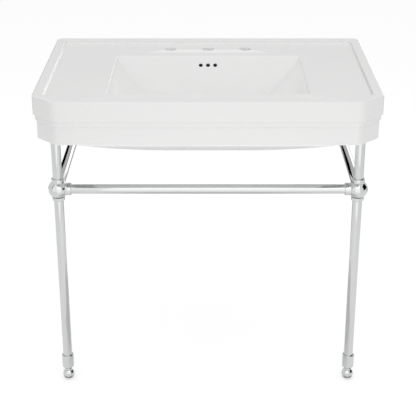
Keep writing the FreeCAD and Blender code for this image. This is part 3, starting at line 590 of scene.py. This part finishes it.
def cutter(name, solids, material):
    """Several closed solids as one object that is cut away and then removed."""
    mesh = bpy.data.meshes.new(name)
    points, faces, count = [], [], 0
    for solid_points, quads, ends in solids:
        flat = solid_points.reshape(-1, 3)
        points += flat.tolist()
        faces += [[index + count for index in face] for face in quads + ends]
        count += len(flat)
    mesh.from_pydata(points, [], faces)
    mesh.materials.append(material)
    piece = bpy.data.objects.new(name, mesh)
    bpy.context.collection.objects.link(piece)
    work = bmesh.new()
    work.from_mesh(mesh)
    bmesh.ops.recalc_face_normals(work, faces=work.faces)
    work.to_mesh(mesh)
    work.free()
    return piece


def cut_away(piece, tool):
    """Cut the tool out of the piece with an exact Boolean, then remove the tool."""
    modifier = piece.modifiers.new("cut", "BOOLEAN")
    modifier.operation = "DIFFERENCE"
    modifier.solver = "EXACT"
    modifier.material_mode = "TRANSFER"
    modifier.object = tool
    bpy.context.view_layer.update()
    solid = piece.evaluated_get(bpy.context.evaluated_depsgraph_get())
    result = bpy.data.meshes.new_from_object(solid)
    piece.modifiers.clear()
    old = piece.data
    piece.data = result
    result.name = old.name
    bpy.data.meshes.remove(old)
    bpy.data.objects.remove(tool)


def circle(x, y, radius, count=64):
    """Points in equal turns at x + radius x cos a and y + radius x sin a."""
    angle = np.linspace(0.0, math.tau, count, endpoint=False)
    return np.column_stack([x + radius * np.cos(angle), y + radius * np.sin(angle)])


SKIRT_WALL, BACK_WALL = 14 * MM, 16 * MM
BOSS_RADIUS, SOCKET_RADIUS, SOCKET_DEEP = 20 * MM, 13.2 * MM, 14 * MM
BELOW = 20 * MM
SLIVER = 0.01 * MM
leg_low, leg_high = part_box("lower_leg_right")
LEG_X, LEG_Y = (leg_low.x + leg_high.x) / 2, (leg_low.y + leg_high.y) / 2
hollow_inset = LOWER_INSET + SKIRT_WALL
near_y = FRONT + hollow_inset
hollow_x = HALF_WIDTH - hollow_inset
# Moved inwards by a distance, a cut at 45 degrees gets (2 - root 2) x the distance shorter.
inner_cut = CORNER_CUT - hollow_inset * (2 - math.sqrt(2.0))
right_half = [(BELLY_HALF, near_y), (hollow_x - inner_cut, near_y), (hollow_x, near_y + inner_cut),
              (hollow_x, WALL - BACK_WALL)]
left_half = [(-x, y) for x, y in reversed(right_half)]
u_shape = right_half + left_half + [(-BELLY_HALF, BELLY_BACK), (BELLY_HALF, BELLY_BACK)]
hollow = cutter("hollow", [prism(u_shape, SKIRT_BOTTOM - BELOW, DECK - DECK_THICKNESS)], china)
bosses = cutter("bosses", [prism(circle(side * LEG_X, LEG_Y, BOSS_RADIUS), SKIRT_BOTTOM - SLIVER, DECK)
                           for side in (-1, 1)], china)
cut_away(hollow, bosses)
cut_away(basin, hollow)
sockets = cutter("sockets", [prism(circle(side * LEG_X, LEG_Y, SOCKET_RADIUS), SKIRT_BOTTOM - BELOW,
                                   SKIRT_BOTTOM + SOCKET_DEEP) for side in (-1, 1)], china)
cut_away(basin, sockets)
print("basin now has", len(basin.data.polygons), "faces")

# %% [markdown]
# ## Overflow and hanger holes
# The three overflow holes stand square to the back slope and lead into a flat chamber and a duct
# that comes out in the drain. Water never leaves them clean: the glaze stops just inside each
# hole, and the dark beyond it, which the eye reads as a hole, is shade. So the lip keeps the glaze,
# and everything deeper gets the unglazed finish, whose dark grey is painted shade.

# %% Basin: overflow and hanger holes
OVERFLOW_Y, OVERFLOW_Z = BOWL_BACK - 22 * MM, DECK - 20 * MM
OVERFLOW_RADIUS, OVERFLOW_SPACING, OVERFLOW_REACH = 5.2 * MM, 19.2 * MM, 24 * MM
OVERFLOW_LIP, LIP_SUNK = 1.2 * MM, 0.2
GLAZE_DEPTH = 1.5 * MM
CUTTER_ABOVE, CUTTER_OVERLAP = 10 * MM, 1 * MM
# The back slope faces up and away from the wall, by these parts of a unit length.
SLOPE_UP, SLOPE_OUT = 0.7547, 0.6561


def revolved(section, centre, axis, segments, closed=True):
    """A section of (radius, distance along the axis) points, turned round the axis through centre.

    Each ring is centre + distance x axis + radius x (cos x first + sin x second), where first and
    second are square to the axis. A closed section makes a ring-shaped solid."""
    axis = np.asarray(axis, float)
    axis = axis / np.linalg.norm(axis)
    first = np.cross(axis, (0.0, 0.0, 1.0) if abs(axis[2]) < 0.9 else (0.0, 1.0, 0.0))
    first /= np.linalg.norm(first)
    second = np.cross(axis, first)
    angle = np.linspace(0.0, math.tau, segments, endpoint=False)[:, None]
    spoke = np.cos(angle) * first + np.sin(angle) * second
    section = np.asarray(section, float)
    rings = (np.asarray(centre, float) + section[:, 1, None, None] * axis
             + section[:, 0, None, None] * spoke)
    return rings, grid_faces(len(section), segments, close_rows=closed)


def plug(section, centre, axis, segments=64):
    """A revolved solid as a cutter: an open section whose two end rings are filled."""
    rings, faces = revolved(section, centre, axis, segments, closed=False)
    count = len(section) * segments
    return rings, faces.tolist(), [list(range(segments)), list(range(count - segments, count))]


inward = (0.0, SLOPE_OUT, -SLOPE_UP)
overflow_places = [(place * OVERFLOW_SPACING, OVERFLOW_Y, OVERFLOW_Z) for place in (-1, 0, 1)]
lip_section = [(OVERFLOW_RADIUS + OVERFLOW_LIP * (1 - math.sin(turn)),
                OVERFLOW_LIP * (LIP_SUNK - math.cos(turn))) for turn in arc_levels(0, 90, LIP_STEPS)]
lip_section = [(lip_section[0][0], -CUTTER_ABOVE)] + lip_section + [(OVERFLOW_RADIUS, GLAZE_DEPTH)]
bore_section = [(OVERFLOW_RADIUS, GLAZE_DEPTH - CUTTER_OVERLAP), (OVERFLOW_RADIUS, OVERFLOW_REACH)]
cut_away(basin, cutter("bores", [plug(bore_section, place, inward) for place in overflow_places], raw_china_painted_shade))
cut_away(basin, cutter("lips", [plug(lip_section, place, inward) for place in overflow_places], china))

CHANNEL_TOP = (BOWL_BACK - 6 * MM, DECK - 34 * MM)
CHANNEL_END = (DRAIN_Y + DRAIN_RADIUS - 4.5 * MM, belly_floor + 18 * MM)
CHANNEL_HEIGHT = 10 * MM
CHAMBER_RUN, CHAMBER_HALF, DUCT_HALF = 32 * MM, 27 * MM, 13 * MM
fall = (CHANNEL_TOP[1] - CHANNEL_END[1]) / (CHANNEL_TOP[0] - CHANNEL_END[0])
# The chamber behind the holes is short and wide, and the duct on to the drain is long and narrow.
for run, half in ((CHAMBER_RUN, CHAMBER_HALF), (CHANNEL_TOP[0] - CHANNEL_END[0], DUCT_HALF)):
    low_end = (CHANNEL_TOP[0] - run, CHANNEL_TOP[1] - run * fall)
    side_view = [CHANNEL_TOP, low_end, (low_end[0], low_end[1] - CHANNEL_HEIGHT),
                 (CHANNEL_TOP[0], CHANNEL_TOP[1] - CHANNEL_HEIGHT)]
    cut_away(basin, cutter("channel", [prism(side_view, -half, half, upright="x")], raw_china_painted_shade))

HANGER_SPACING, HANGER_RADIUS, HANGER_DROP, HANGER_PAST = 280 * MM, 6 * MM, 68 * MM, 2 * MM
hangers = [plug([(HANGER_RADIUS, -BACK_WALL - HANGER_PAST), (HANGER_RADIUS, HANGER_PAST)],
                (side * HANGER_SPACING / 2, WALL, RIM - HANGER_DROP), (0, 1, 0)) for side in (-1, 1)]
cut_away(basin, cutter("hangers", hangers, china))
shade(basin, CHINA_SHARP_ANGLE)
finish_piece(basin, "console", "basin")

# %% [markdown]
# ## Tubes
# The legs and rails are drawn brass tube. A tube is a closed section, its wall, turned round an
# axis. The frame's box says which way a tube lies: two of its three sizes are alike, and the third
# is its length. The cut ends are lightly deburred.

# %% Chrome: tubes
CHROME_SEGMENTS, SECTION_STEPS = 128, 6
METAL_SHARP_ANGLE = 30.0
TUBE_WALL, TUBE_DEBURR = 1.5 * MM, 0.3 * MM
SIDES = ("left", "right")


def place_of(node):
    """Centre, length, radius and axis of a round node, from its box: the axis is the odd size out."""
    low, high = (np.array(corner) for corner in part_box(node))
    size = high - low
    odd = int(np.argmin([abs(size[1] - size[2]), abs(size[2] - size[0]), abs(size[0] - size[1])]))
    axis = np.eye(3)[odd]
    return (low + high) / 2, size[odd], size[(odd + 1) % 3] / 2, axis


def closed_section(corners, radii):
    """A section of a ring-shaped solid with its corners rounded."""
    return rounded_path(corners, radii, SECTION_STEPS)


def turned_piece(node, section, centre, axis, closed=True):
    """A section turned round an axis in chrome, named for the node that it stands for."""
    surface = revolved(section, centre, axis, CHROME_SEGMENTS, closed)
    return make_piece("chrome_" + node, [surface], chrome, "polished_chrome", METAL_SHARP_ANGLE)


def make_tube(node):
    """The wall between bore and outside, as long as the node, turned round the tube's axis."""
    centre, length, radius, axis = place_of(node)
    bore, half = radius - TUBE_WALL, length / 2
    section = closed_section([(bore, -half), (radius, -half), (radius, half), (bore, half)], TUBE_DEBURR)
    finish_piece(turned_piece(node, section, centre, axis), "console", node)


for tube_node in [name + side for name in ("upper_leg_", "lower_leg_", "side_rail_") for side in SIDES]:
    make_tube(tube_node)
make_tube("front_rail")

# %% [markdown]
# ## Ball joints
# At each front corner four tubes meet in a turned ball with four flat seats. A collar stands on
# each seat and a set screw through its wall grips the tube. The ball is a grid of latitude and
# longitude, and a Boolean turns the seats and sockets into it, as the cutting tool would.

# %% Chrome: balls, collars and set screws
BALL_RADIUS = 25.4 * MM
BALL_STEPS = 64
SEAT_FROM_CENTRE, SEAT_PAST, SOCKET_FROM_CENTRE = 19.2 * MM, 5 * MM, 15.5 * MM
TUBE_CLEARANCE = 0.05 * MM
COLLAR_BEVEL, COLLAR_FOOT_ROUND = 1.4 * MM, 0.3 * MM
SCREW_RADIUS, SCREW_FROM_RIM, SCREW_PROUD, SCREW_EDGE = 2.0 * MM, 5.2 * MM, 0.3 * MM, 0.25 * MM
SCREW_SEGMENTS = 48
SCREW_HOLE_ABOVE, SCREW_HOLE_DEEP = 1 * MM, 6 * MM
HEX_HALF, HEX_DEEP, HEX_POINT = 1.0 * MM, 1.6 * MM, 0.4 * MM
GROOVE_HIGH, GROOVE_DEEP, GROOVE_PAST = 1.4 * MM, 1.6 * MM, 1 * MM
tube_radius = place_of("front_rail")[2]
BORE = tube_radius + TUBE_CLEARANCE


def make_ball(side, inboard):
    """A sphere, R x (cos a, sin a) turned round the upright axis, with four seats and sockets cut in."""
    above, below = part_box("upper_collar_" + side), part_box("lower_collar_" + side)
    centre = np.array([inboard * -LEG_X, LEG_Y, (above[0].z + below[1].z) / 2])
    turn = arc_levels(-90, 90, BALL_STEPS)
    sphere = np.column_stack([BALL_RADIUS * np.cos(turn), BALL_RADIUS * np.sin(turn)])
    ball = turned_piece("corner_joint_" + side, sphere, centre, (0, 0, 1), closed=False)
    seat = [(BALL_RADIUS, BALL_RADIUS + SEAT_PAST), (BALL_RADIUS, SEAT_FROM_CENTRE)]
    socket = [(BORE, BALL_RADIUS), (BORE, SOCKET_FROM_CENTRE)]
    for way in ((0, 0, 1), (0, 0, -1), (0, 1, 0), (inboard, 0, 0)):
        cut_away(ball, cutter("seat", [plug(seat, centre, way, CHROME_SEGMENTS)], chrome))
        cut_away(ball, cutter("socket", [plug(socket, centre, way, CHROME_SEGMENTS)], chrome))
    shade(ball, METAL_SHARP_ANGLE)
    finish_piece(ball, "console", "corner_joint_" + side)
    return centre


def set_screw(centre, way, deep):
    """A short screw whose hexagon socket is a ring bent from a circle to six flats.

    A hexagon's reach at an angle is half its width over the cosine of the angle from its flat."""
    angle = np.linspace(0.0, math.tau, SCREW_SEGMENTS, endpoint=False)
    from_flat = (angle + math.pi / 6) % (math.pi / 3) - math.pi / 6
    hexagon = HEX_HALF / np.cos(from_flat)
    ones = np.ones_like(angle)
    radii = np.array([0 * ones, SCREW_RADIUS * ones, SCREW_RADIUS * ones,
                      (SCREW_RADIUS - SCREW_EDGE) * ones, hexagon, hexagon, 0 * ones])
    heights = np.array([-deep, -deep, -SCREW_EDGE, 0.0, 0.0, -HEX_DEEP, -HEX_DEEP - HEX_POINT])
    way = np.asarray(way, float)
    first = np.array([1.0, 0.0, 0.0]) if abs(way[0]) < 0.5 else np.array([0.0, 1.0, 0.0])
    second = np.cross(way, first)
    spoke = np.cos(angle)[:, None] * first + np.sin(angle)[:, None] * second
    points = np.asarray(centre) + heights[:, None, None] * way + radii[..., None] * spoke
    return points, grid_faces(len(heights), len(angle))


def cut_screw_hole(piece, screw_end, screw_way):
    """Cut a set screw's hole, with a running clearance, from above the screw's outer end inwards."""
    radius = SCREW_RADIUS + TUBE_CLEARANCE
    hole = [(radius, SCREW_HOLE_ABOVE), (radius, -SCREW_HOLE_DEEP)]
    cut_away(piece, cutter("screw_hole", [plug(hole, screw_end, screw_way, SCREW_SEGMENTS)], chrome))


def screw_piece(node, screws):
    """The set screws that stand for a node, as one zinc-plated piece."""
    piece = make_piece("zinc_" + node, screws, zinc, "zinc_plated_steel", METAL_SHARP_ANGLE)
    finish_piece(piece, "console", node)


def make_collar(node, ball_centre):
    """A ring on a ball's seat. Its far outer edge has a large round, and a lower one has the groove.

    Its set screw reaches from the tube to SCREW_PROUD above the ring. The screw's surface comes back."""
    centre, length, radius, axis = place_of(node)
    outwards = axis * np.sign(np.dot(centre - ball_centre, axis))
    foot, rim = -length / 2, length / 2
    section = closed_section([(BORE, foot), (radius, foot), (radius, rim), (BORE, rim)],
                             [COLLAR_FOOT_ROUND, COLLAR_FOOT_ROUND, COLLAR_BEVEL, COLLAR_FOOT_ROUND])
    collar = turned_piece(node, section, centre, outwards)
    screw_way = np.array([0.0, 1.0, 0.0]) if abs(axis[2]) > 0.5 else np.array([0.0, 0.0, -1.0])
    screw_end = centre + outwards * (rim - SCREW_FROM_RIM) + screw_way * (radius + SCREW_PROUD)
    cut_screw_hole(collar, screw_end, screw_way)
    if node.startswith("lower_collar"):
        groove_inner, groove_outer = radius - GROOVE_DEEP, radius + GROOVE_PAST
        groove = [(groove_inner, foot - GROOVE_PAST), (groove_outer, foot - GROOVE_PAST),
                  (groove_outer, foot + GROOVE_HIGH), (groove_inner, foot + GROOVE_HIGH)]
        ring, faces = revolved(groove, centre, outwards, CHROME_SEGMENTS)
        # The groove's walls take the near-black finish, which is mostly painted shade.
        cut_away(collar, cutter("groove", [(ring, faces.tolist(), [])], tarnish_and_shade))
    shade(collar, METAL_SHARP_ANGLE)
    finish_piece(collar, "console", node)
    return set_screw(screw_end, screw_way, radius + SCREW_PROUD - tube_radius - TUBE_CLEARANCE)


for side, inboard in zip(SIDES, (1, -1)):
    ball_centre = make_ball(side, inboard)
    joint_screws = [make_collar(name + side, ball_centre)
                    for name in ("upper_collar_", "lower_collar_", "side_collar_", "front_collar_")]
    screw_piece("joint_screws_" + side, joint_screws)

# %% [markdown]
# ## Wall sockets, ferrules and feet
# Each side rail ends in a socket screwed to the wall. Each leg ends in a ferrule, a thicker cup
# that hides the tube's end, and below it a ball foot on a threaded stem, which turns to level the
# basin. They are all turned parts, so each is one profile round one axis.

# %% Chrome: wall sockets
FLANGE_RADIUS, FLANGE_THICK, FLANGE_REACH, FLANGE_HOLE = 18.4 * MM, 5 * MM, 22 * MM, 3.2 * MM
FLANGE_ROUNDS = np.array([0.2, 0.2, 1.0, 0.6, 1.0, 0.3, 0.2, 0.2]) * MM
COLLAR_RADIUS = 16.3 * MM
flange_corners = [(FLANGE_HOLE, 0), (FLANGE_RADIUS, 0), (FLANGE_RADIUS, FLANGE_THICK),
                  (COLLAR_RADIUS, FLANGE_THICK), (COLLAR_RADIUS, FLANGE_REACH), (BORE, FLANGE_REACH),
                  (BORE, FLANGE_THICK), (FLANGE_HOLE, FLANGE_THICK)]
flange_section = closed_section(flange_corners, FLANGE_ROUNDS)
for side in SIDES:
    low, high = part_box("wall_flange_" + side)
    wall_centre = np.array([(low.x + high.x) / 2, WALL, (low.z + high.z) / 2])
    flange = turned_piece("wall_flange_" + side, flange_section, wall_centre, (0, -1, 0))
    screw_end = wall_centre + np.array([0, SCREW_FROM_RIM - FLANGE_REACH, -COLLAR_RADIUS - SCREW_PROUD])
    cut_screw_hole(flange, screw_end, (0, 0, -1))
    shade(flange, METAL_SHARP_ANGLE)
    finish_piece(flange, "console", "wall_flange_" + side)
    screw_length = COLLAR_RADIUS + SCREW_PROUD - tube_radius - TUBE_CLEARANCE
    screw_piece("flange_screw_" + side, [set_screw(screw_end, (0, 0, -1), screw_length)])

# %% Chrome: ferrules and ball feet
FERRULE_RADIUS, FERRULE_LIP, STEM_CLEARANCE_RADIUS = 16.2 * MM, 11 * MM, 5.6 * MM
FERRULE_CONE, FERRULE_FLOOR = 6.5 * MM, 11.5 * MM
FERRULE_ROUNDS = np.array([0.3, 0.8, 1.6, 1.4, 0.3, 0.2, 0.2]) * MM
FOOT_BALL, FOOT_CENTRE, FOOT_NECK, FOOT_STEM = 16 * MM, 15.5 * MM, 8.9 * MM, 5 * MM
NECK_BEVEL = 0.3 * MM
FOOT_ROWS = 48
for side in SIDES:
    low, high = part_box("foot_ferrule_" + side)
    leg_axis = np.array([(low.x + high.x) / 2, (low.y + high.y) / 2, 0.0])
    section = closed_section(
        [(STEM_CLEARANCE_RADIUS, low.z), (FERRULE_LIP, low.z), (FERRULE_RADIUS, low.z + FERRULE_CONE),
         (FERRULE_RADIUS, high.z), (BORE, high.z), (BORE, low.z + FERRULE_FLOOR),
         (STEM_CLEARANCE_RADIUS, low.z + FERRULE_FLOOR)], FERRULE_ROUNDS)
    ferrule = turned_piece("foot_ferrule_" + side, section, leg_axis, (0, 0, 1))
    finish_piece(ferrule, "console", "foot_ferrule_" + side)

    # The ball ends at its flat, where radius x sin a reaches down to the floor, and at its neck, where
    # radius x cos a is the neck's radius. The stem goes on into the leg.
    foot_low, foot_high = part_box("levelling_foot_" + side)
    flat_angle = -math.asin(FOOT_CENTRE / FOOT_BALL)
    neck_angle = math.acos(FOOT_NECK / FOOT_BALL)
    turn = np.linspace(flat_angle, neck_angle, FOOT_ROWS)
    ball_part = np.column_stack([FOOT_BALL * np.cos(turn), FOOT_CENTRE + FOOT_BALL * np.sin(turn)])
    stem_part = [(FOOT_NECK, low.z - NECK_BEVEL), (FOOT_NECK - NECK_BEVEL, low.z), (FOOT_STEM, low.z),
                 (FOOT_STEM, foot_high.z), (0.0, foot_high.z)]
    profile = np.concatenate([[(0.0, foot_low.z)], ball_part, stem_part])
    foot = turned_piece("levelling_foot_" + side, profile, leg_axis, (0, 0, 1), closed=False)
    finish_piece(foot, "foot_" + side, "levelling_foot_" + side)

# %% [markdown]
# ## Pieces that stay as they are
# The plug, the pad and the insert sit out of sight inside the legs, and their plain turned shapes
# are right already. They only need their finish.

# %% Finishes on the hidden nodes
for name, finish in (("leg_plug_", nylon), ("leg_pad_", rubber), ("foot_insert_", brass)):
    for side in SIDES:
        node_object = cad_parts[name + side]
        for material_slot in node_object.material_slots:
            material_slot.material = finish
        print(name + side, "is", finish.name)

# %% [markdown]
# ## Floor, background and light
# A white object on a white ground needs light that is soft but not even. The world is white to
# the camera and in the chrome, and dimmer as light, so that the glaze doesn't burn out. The floor
# is a pale paint that glows a little for the camera, which makes it as white as the background
# and still leaves it the feet's shadows. A tall soft panel stands in front, a little to the
# right, a large one hangs above, and a low one on the floor lights the belly from below.

# %% Floor
FLOOR_HALF = 6.0
FLOOR_GLOW = 0.36
floor_mesh = bpy.data.meshes.new("studio_floor")
floor_mesh.from_pydata([(-FLOOR_HALF, -FLOOR_HALF, 0), (FLOOR_HALF, -FLOOR_HALF, 0),
                        (FLOOR_HALF, FLOOR_HALF, 0), (-FLOOR_HALF, FLOOR_HALF, 0)], [], [(0, 1, 2, 3)])
floor = bpy.data.objects.new("studio_floor", floor_mesh)
bpy.context.collection.objects.link(floor)
floor_paint, floor_tree, floor_shader = new_material("pale_floor_paint", "#EEEEEE", 0.9)
floor_mesh.materials.append(floor_paint)


def shown_directly(tree):
    """1 for a ray from the camera, from a mirror or through glass, else 0."""
    rays = add_node(tree, "ShaderNodeLightPath")
    either = add_node(tree, "ShaderNodeMath", {0: rays.outputs["Is Camera Ray"],
                                               1: rays.outputs["Is Glossy Ray"]}, operation="MAXIMUM")
    return add_node(tree, "ShaderNodeMath", {0: either.outputs[0],
                                             1: rays.outputs["Is Transmission Ray"]}, operation="MAXIMUM")


glow = add_node(floor_tree, "ShaderNodeMath", {0: shown_directly(floor_tree).outputs[0]},
                {1: FLOOR_GLOW}, operation="MULTIPLY")
floor_shader.inputs["Emission Color"].default_value = (1.0, 1.0, 1.0, 1.0)
floor_tree.links.new(glow.outputs[0], floor_shader.inputs["Emission Strength"])
floor_shader.inputs["Specular IOR Level"].default_value = 0.0
print("floor reaches", FLOOR_HALF, "m each way")

# %% World
WORLD_LIGHT = 0.7
world = bpy.data.worlds.new("studio_white")
bpy.context.scene.world = world
world.use_nodes = True
world_tree = world.node_tree
strength = add_node(world_tree, "ShaderNodeMapRange", {"Value": shown_directly(world_tree).outputs[0]},
                    {"To Min": WORLD_LIGHT, "To Max": 1.0})
background = world_tree.nodes["Background"]
background.inputs["Color"].default_value = (1.0, 1.0, 1.0, 1.0)
world_tree.links.new(strength.outputs["Result"], background.inputs["Strength"])
print("world lights at", WORLD_LIGHT, "and shows at 1.0")

# %% Lamps
PANEL_LIGHT, TOP_LIGHT, FLOOR_LIGHT = 0.32, 0.46, 0.65
PANEL_WIDE, PANEL_HIGH, PANEL_X, PANEL_Y = 1.37, 3.4, 0.165, -1.35
TOP_SIZE, TOP_PLACE = 3.0, (0.0, -0.5, 3.0)
LOW_WIDE, LOW_LONG, LOW_PLACE = 1.6, 1.2, (0.0, -0.4, 2 * MM)
FACING_BACK, FACING_DOWN, FACING_UP = (math.pi / 2, 0.0, 0.0), (0.0, 0.0, 0.0), (math.pi, 0.0, 0.0)


def soft_lamp(name, wide, high, radiance, place, turn):
    """An area lamp whose radiance is its power over pi times its area; mirrors don't see it."""
    lamp_data = bpy.data.lights.new(name, "AREA")
    lamp_data.shape = "RECTANGLE"
    lamp_data.size, lamp_data.size_y = wide, high
    lamp_data.energy = math.pi * wide * high * radiance
    lamp = bpy.data.objects.new(name, lamp_data)
    lamp.location, lamp.rotation_euler = place, turn
    lamp.visible_camera = lamp.visible_glossy = False
    bpy.context.collection.objects.link(lamp)
    print(name, round(lamp_data.energy, 1), "W")


soft_lamp("front_lamp", PANEL_WIDE, PANEL_HIGH, PANEL_LIGHT, (PANEL_X, PANEL_Y, PANEL_HIGH / 2),
          FACING_BACK)
soft_lamp("top_lamp", TOP_SIZE, TOP_SIZE, TOP_LIGHT, TOP_PLACE, FACING_DOWN)
soft_lamp("floor_lamp", LOW_WIDE, LOW_LONG, FLOOR_LIGHT, LOW_PLACE, FACING_UP)

# %% [markdown]
# ## What the chrome sees
# Polished metal has no look of its own: it shows the room. A studio sets white and black cards
# round it, outside the view, to draw bright and dark lines on every tube and ball. Most of them are
# patches of a dome here, given by compass angle from the wall's side and by height. Level patches
# just above the floor stand for its darker parts: behind the basin, under it, and round each foot.
# The panel in front is a card too, which fades towards the floor. Only mirror-like rays see the
# cards, so that they neither light nor shade the china.

# %% Cards
FAR, NEAR = 20.0, 3.0
CARD_STEPS = 6


def lamp_like(name, radiance):
    """A material that only gives off a steady radiance, from black at 0 to brighter than white."""
    material = bpy.data.materials.new(name)
    material.use_nodes = True
    tree = material.node_tree
    tree.nodes.remove(tree.nodes["Principled BSDF"])
    emission = add_node(tree, "ShaderNodeEmission", inputs={"Strength": radiance})
    tree.links.new(emission.outputs["Emission"], tree.nodes["Material Output"].inputs["Surface"])
    return material, tree, emission


def only_in_mirrors(name, points, faces, material):
    """A card of the stage that mirror-like rays meet, while all others pass through it."""
    mesh = bpy.data.meshes.new(name)
    mesh.from_pydata(points, [], faces)
    mesh.materials.append(material)
    card = bpy.data.objects.new(name, mesh)
    bpy.context.collection.objects.link(card)
    card.visible_camera = card.visible_diffuse = card.visible_shadow = card.visible_transmission = False
    print("card", name)


def dome_card(name, radiance, compass, height, distance=FAR):
    """A patch of a dome round the basin's rim, c being clockwise from the wall and h up from level.

    Its points lie at distance x (sin c cos h, cos c cos h, sin h) from the dome's centre."""
    turn, rise = (arc_levels(*ends, CARD_STEPS) for ends in (compass, height))
    turn, rise = np.meshgrid(turn, rise)
    points = distance * np.stack([np.sin(turn) * np.cos(rise), np.cos(turn) * np.cos(rise),
                                  np.sin(rise)], axis=-1)
    points[..., 2] += basin_high.z
    row, column = (index.ravel() for index in np.mgrid[0:CARD_STEPS, 0:CARD_STEPS])
    across = CARD_STEPS + 1
    corner = row * across + column
    faces = np.column_stack([corner, corner + 1, corner + across + 1, corner + across])
    only_in_mirrors(name, points.reshape(-1, 3).tolist(), faces.tolist(), lamp_like(name, radiance)[0])


def level_card(name, material, across, along, height=MM):
    """A level rectangle from one x to another and from one y to another, just above the floor."""
    corners = [(across[0], along[0], height), (across[1], along[0], height),
               (across[1], along[1], height), (across[0], along[1], height)]
    only_in_mirrors(name, corners, [(0, 1, 2, 3)], material)


def coordinate(tree, axis):
    """Where a card is seen, along one axis, in metres."""
    place = add_node(tree, "ShaderNodeTexCoord")
    return add_node(tree, "ShaderNodeSeparateXYZ", {"Vector": place.outputs["Object"]}).outputs[axis]


dome_card("black_right", 0.0, (58, 118), (-4, 38))
dome_card("black_left_strip", 0.0, (-114, -107), (8, 52))
dome_card("black_back_left", 0.0, (-26, -13), (-6, 20))
dome_card("grey_back", 0.62, (-13, 16), (12, 36))
dome_card("white_back_right", 2.2, (13, 25), (-6, 13))
dome_card("pale_left", 1.26, (-178, -116), (-16, 60), NEAR)
level_card("grey_floor_behind", lamp_like("grey_floor_behind", 0.55)[0], (-0.8, 4.0), (0.7, 5.5))
level_card("black_floor_left", lamp_like("black_floor_left", 0.0)[0], (-3.0, -0.8), (1.6, 5.5))

# %% Cards: the shade round each foot
# They lie a little above the basin's shade, so that a ball foot shows them and not the other.
FOOT_SHADE, FOOT_SHADE_LEVEL, FOOT_SHADE_HEIGHT = 20 * MM, 0.4, 1.5 * MM
for side, turned in zip(SIDES, (-1, 1)):
    shade_name = "foot_shade_" + side
    level_card(shade_name, lamp_like(shade_name, FOOT_SHADE_LEVEL)[0],
               (turned * LEG_X - FOOT_SHADE, turned * LEG_X + FOOT_SHADE),
               (LEG_Y - FOOT_SHADE, LEG_Y + FOOT_SHADE), FOOT_SHADE_HEIGHT)

# %% Cards: the front panel
# At the floor the panel is as bright as the floor. It is brighter from PANEL_FADE up, and it gains
# PANEL_GAIN more between the two heights of PANEL_RISE.
PANEL_GLOW, PANEL_FADE, PANEL_RISE, PANEL_GAIN = 1.45, 0.1, (0.8, 2.2), 0.6
panel_x = (PANEL_X - PANEL_WIDE / 2, PANEL_X + PANEL_WIDE / 2)
panel_paint, panel_tree, panel_emission = lamp_like("front_panel", PANEL_GLOW)
panel_height = coordinate(panel_tree, "Z")
panel_fade = add_node(panel_tree, "ShaderNodeMapRange", {"Value": panel_height},
                      {"From Max": PANEL_FADE, "To Min": 1.0, "To Max": PANEL_GLOW})
panel_rise = add_node(panel_tree, "ShaderNodeMapRange", {"Value": panel_height},
                      {"From Min": PANEL_RISE[0], "From Max": PANEL_RISE[1],
                       "To Min": 0.0, "To Max": PANEL_GAIN})
panel_sum = add_node(panel_tree, "ShaderNodeMath", {0: panel_fade.outputs["Result"],
                                                    1: panel_rise.outputs["Result"]}, operation="ADD")
panel_tree.links.new(panel_sum.outputs[0], panel_emission.inputs["Strength"])
only_in_mirrors("front_panel", [(panel_x[0], PANEL_Y, 0.0), (panel_x[1], PANEL_Y, 0.0),
                                (panel_x[1], PANEL_Y, PANEL_HIGH), (panel_x[0], PANEL_Y, PANEL_HIGH)],
                [(0, 1, 2, 3)], panel_paint)

# %% Cards: the basin's shade on the floor
# It is even up to SHADE_INNER from the middle, and by SHADE_OUTER it is as bright as the floor.
SHADE_LEVEL = 0.73
SHADE_INNER, SHADE_OUTER = 0.2, 0.38
SHADE_FRONT, SHADE_BACK = -0.4, 0.5
shade_paint, shade_tree, shade_emission = lamp_like("shaded_floor", SHADE_LEVEL)
shade_aside = add_node(shade_tree, "ShaderNodeMath", {0: coordinate(shade_tree, "X")}, operation="ABSOLUTE")
shade_fade = add_node(shade_tree, "ShaderNodeMapRange", {"Value": shade_aside.outputs[0]},
                      {"From Min": SHADE_INNER, "From Max": SHADE_OUTER,
                       "To Min": SHADE_LEVEL, "To Max": 1.0})
shade_tree.links.new(shade_fade.outputs["Result"], shade_emission.inputs["Strength"])
level_card("shaded_floor", shade_paint, (-SHADE_OUTER, SHADE_OUTER), (SHADE_FRONT, SHADE_BACK))
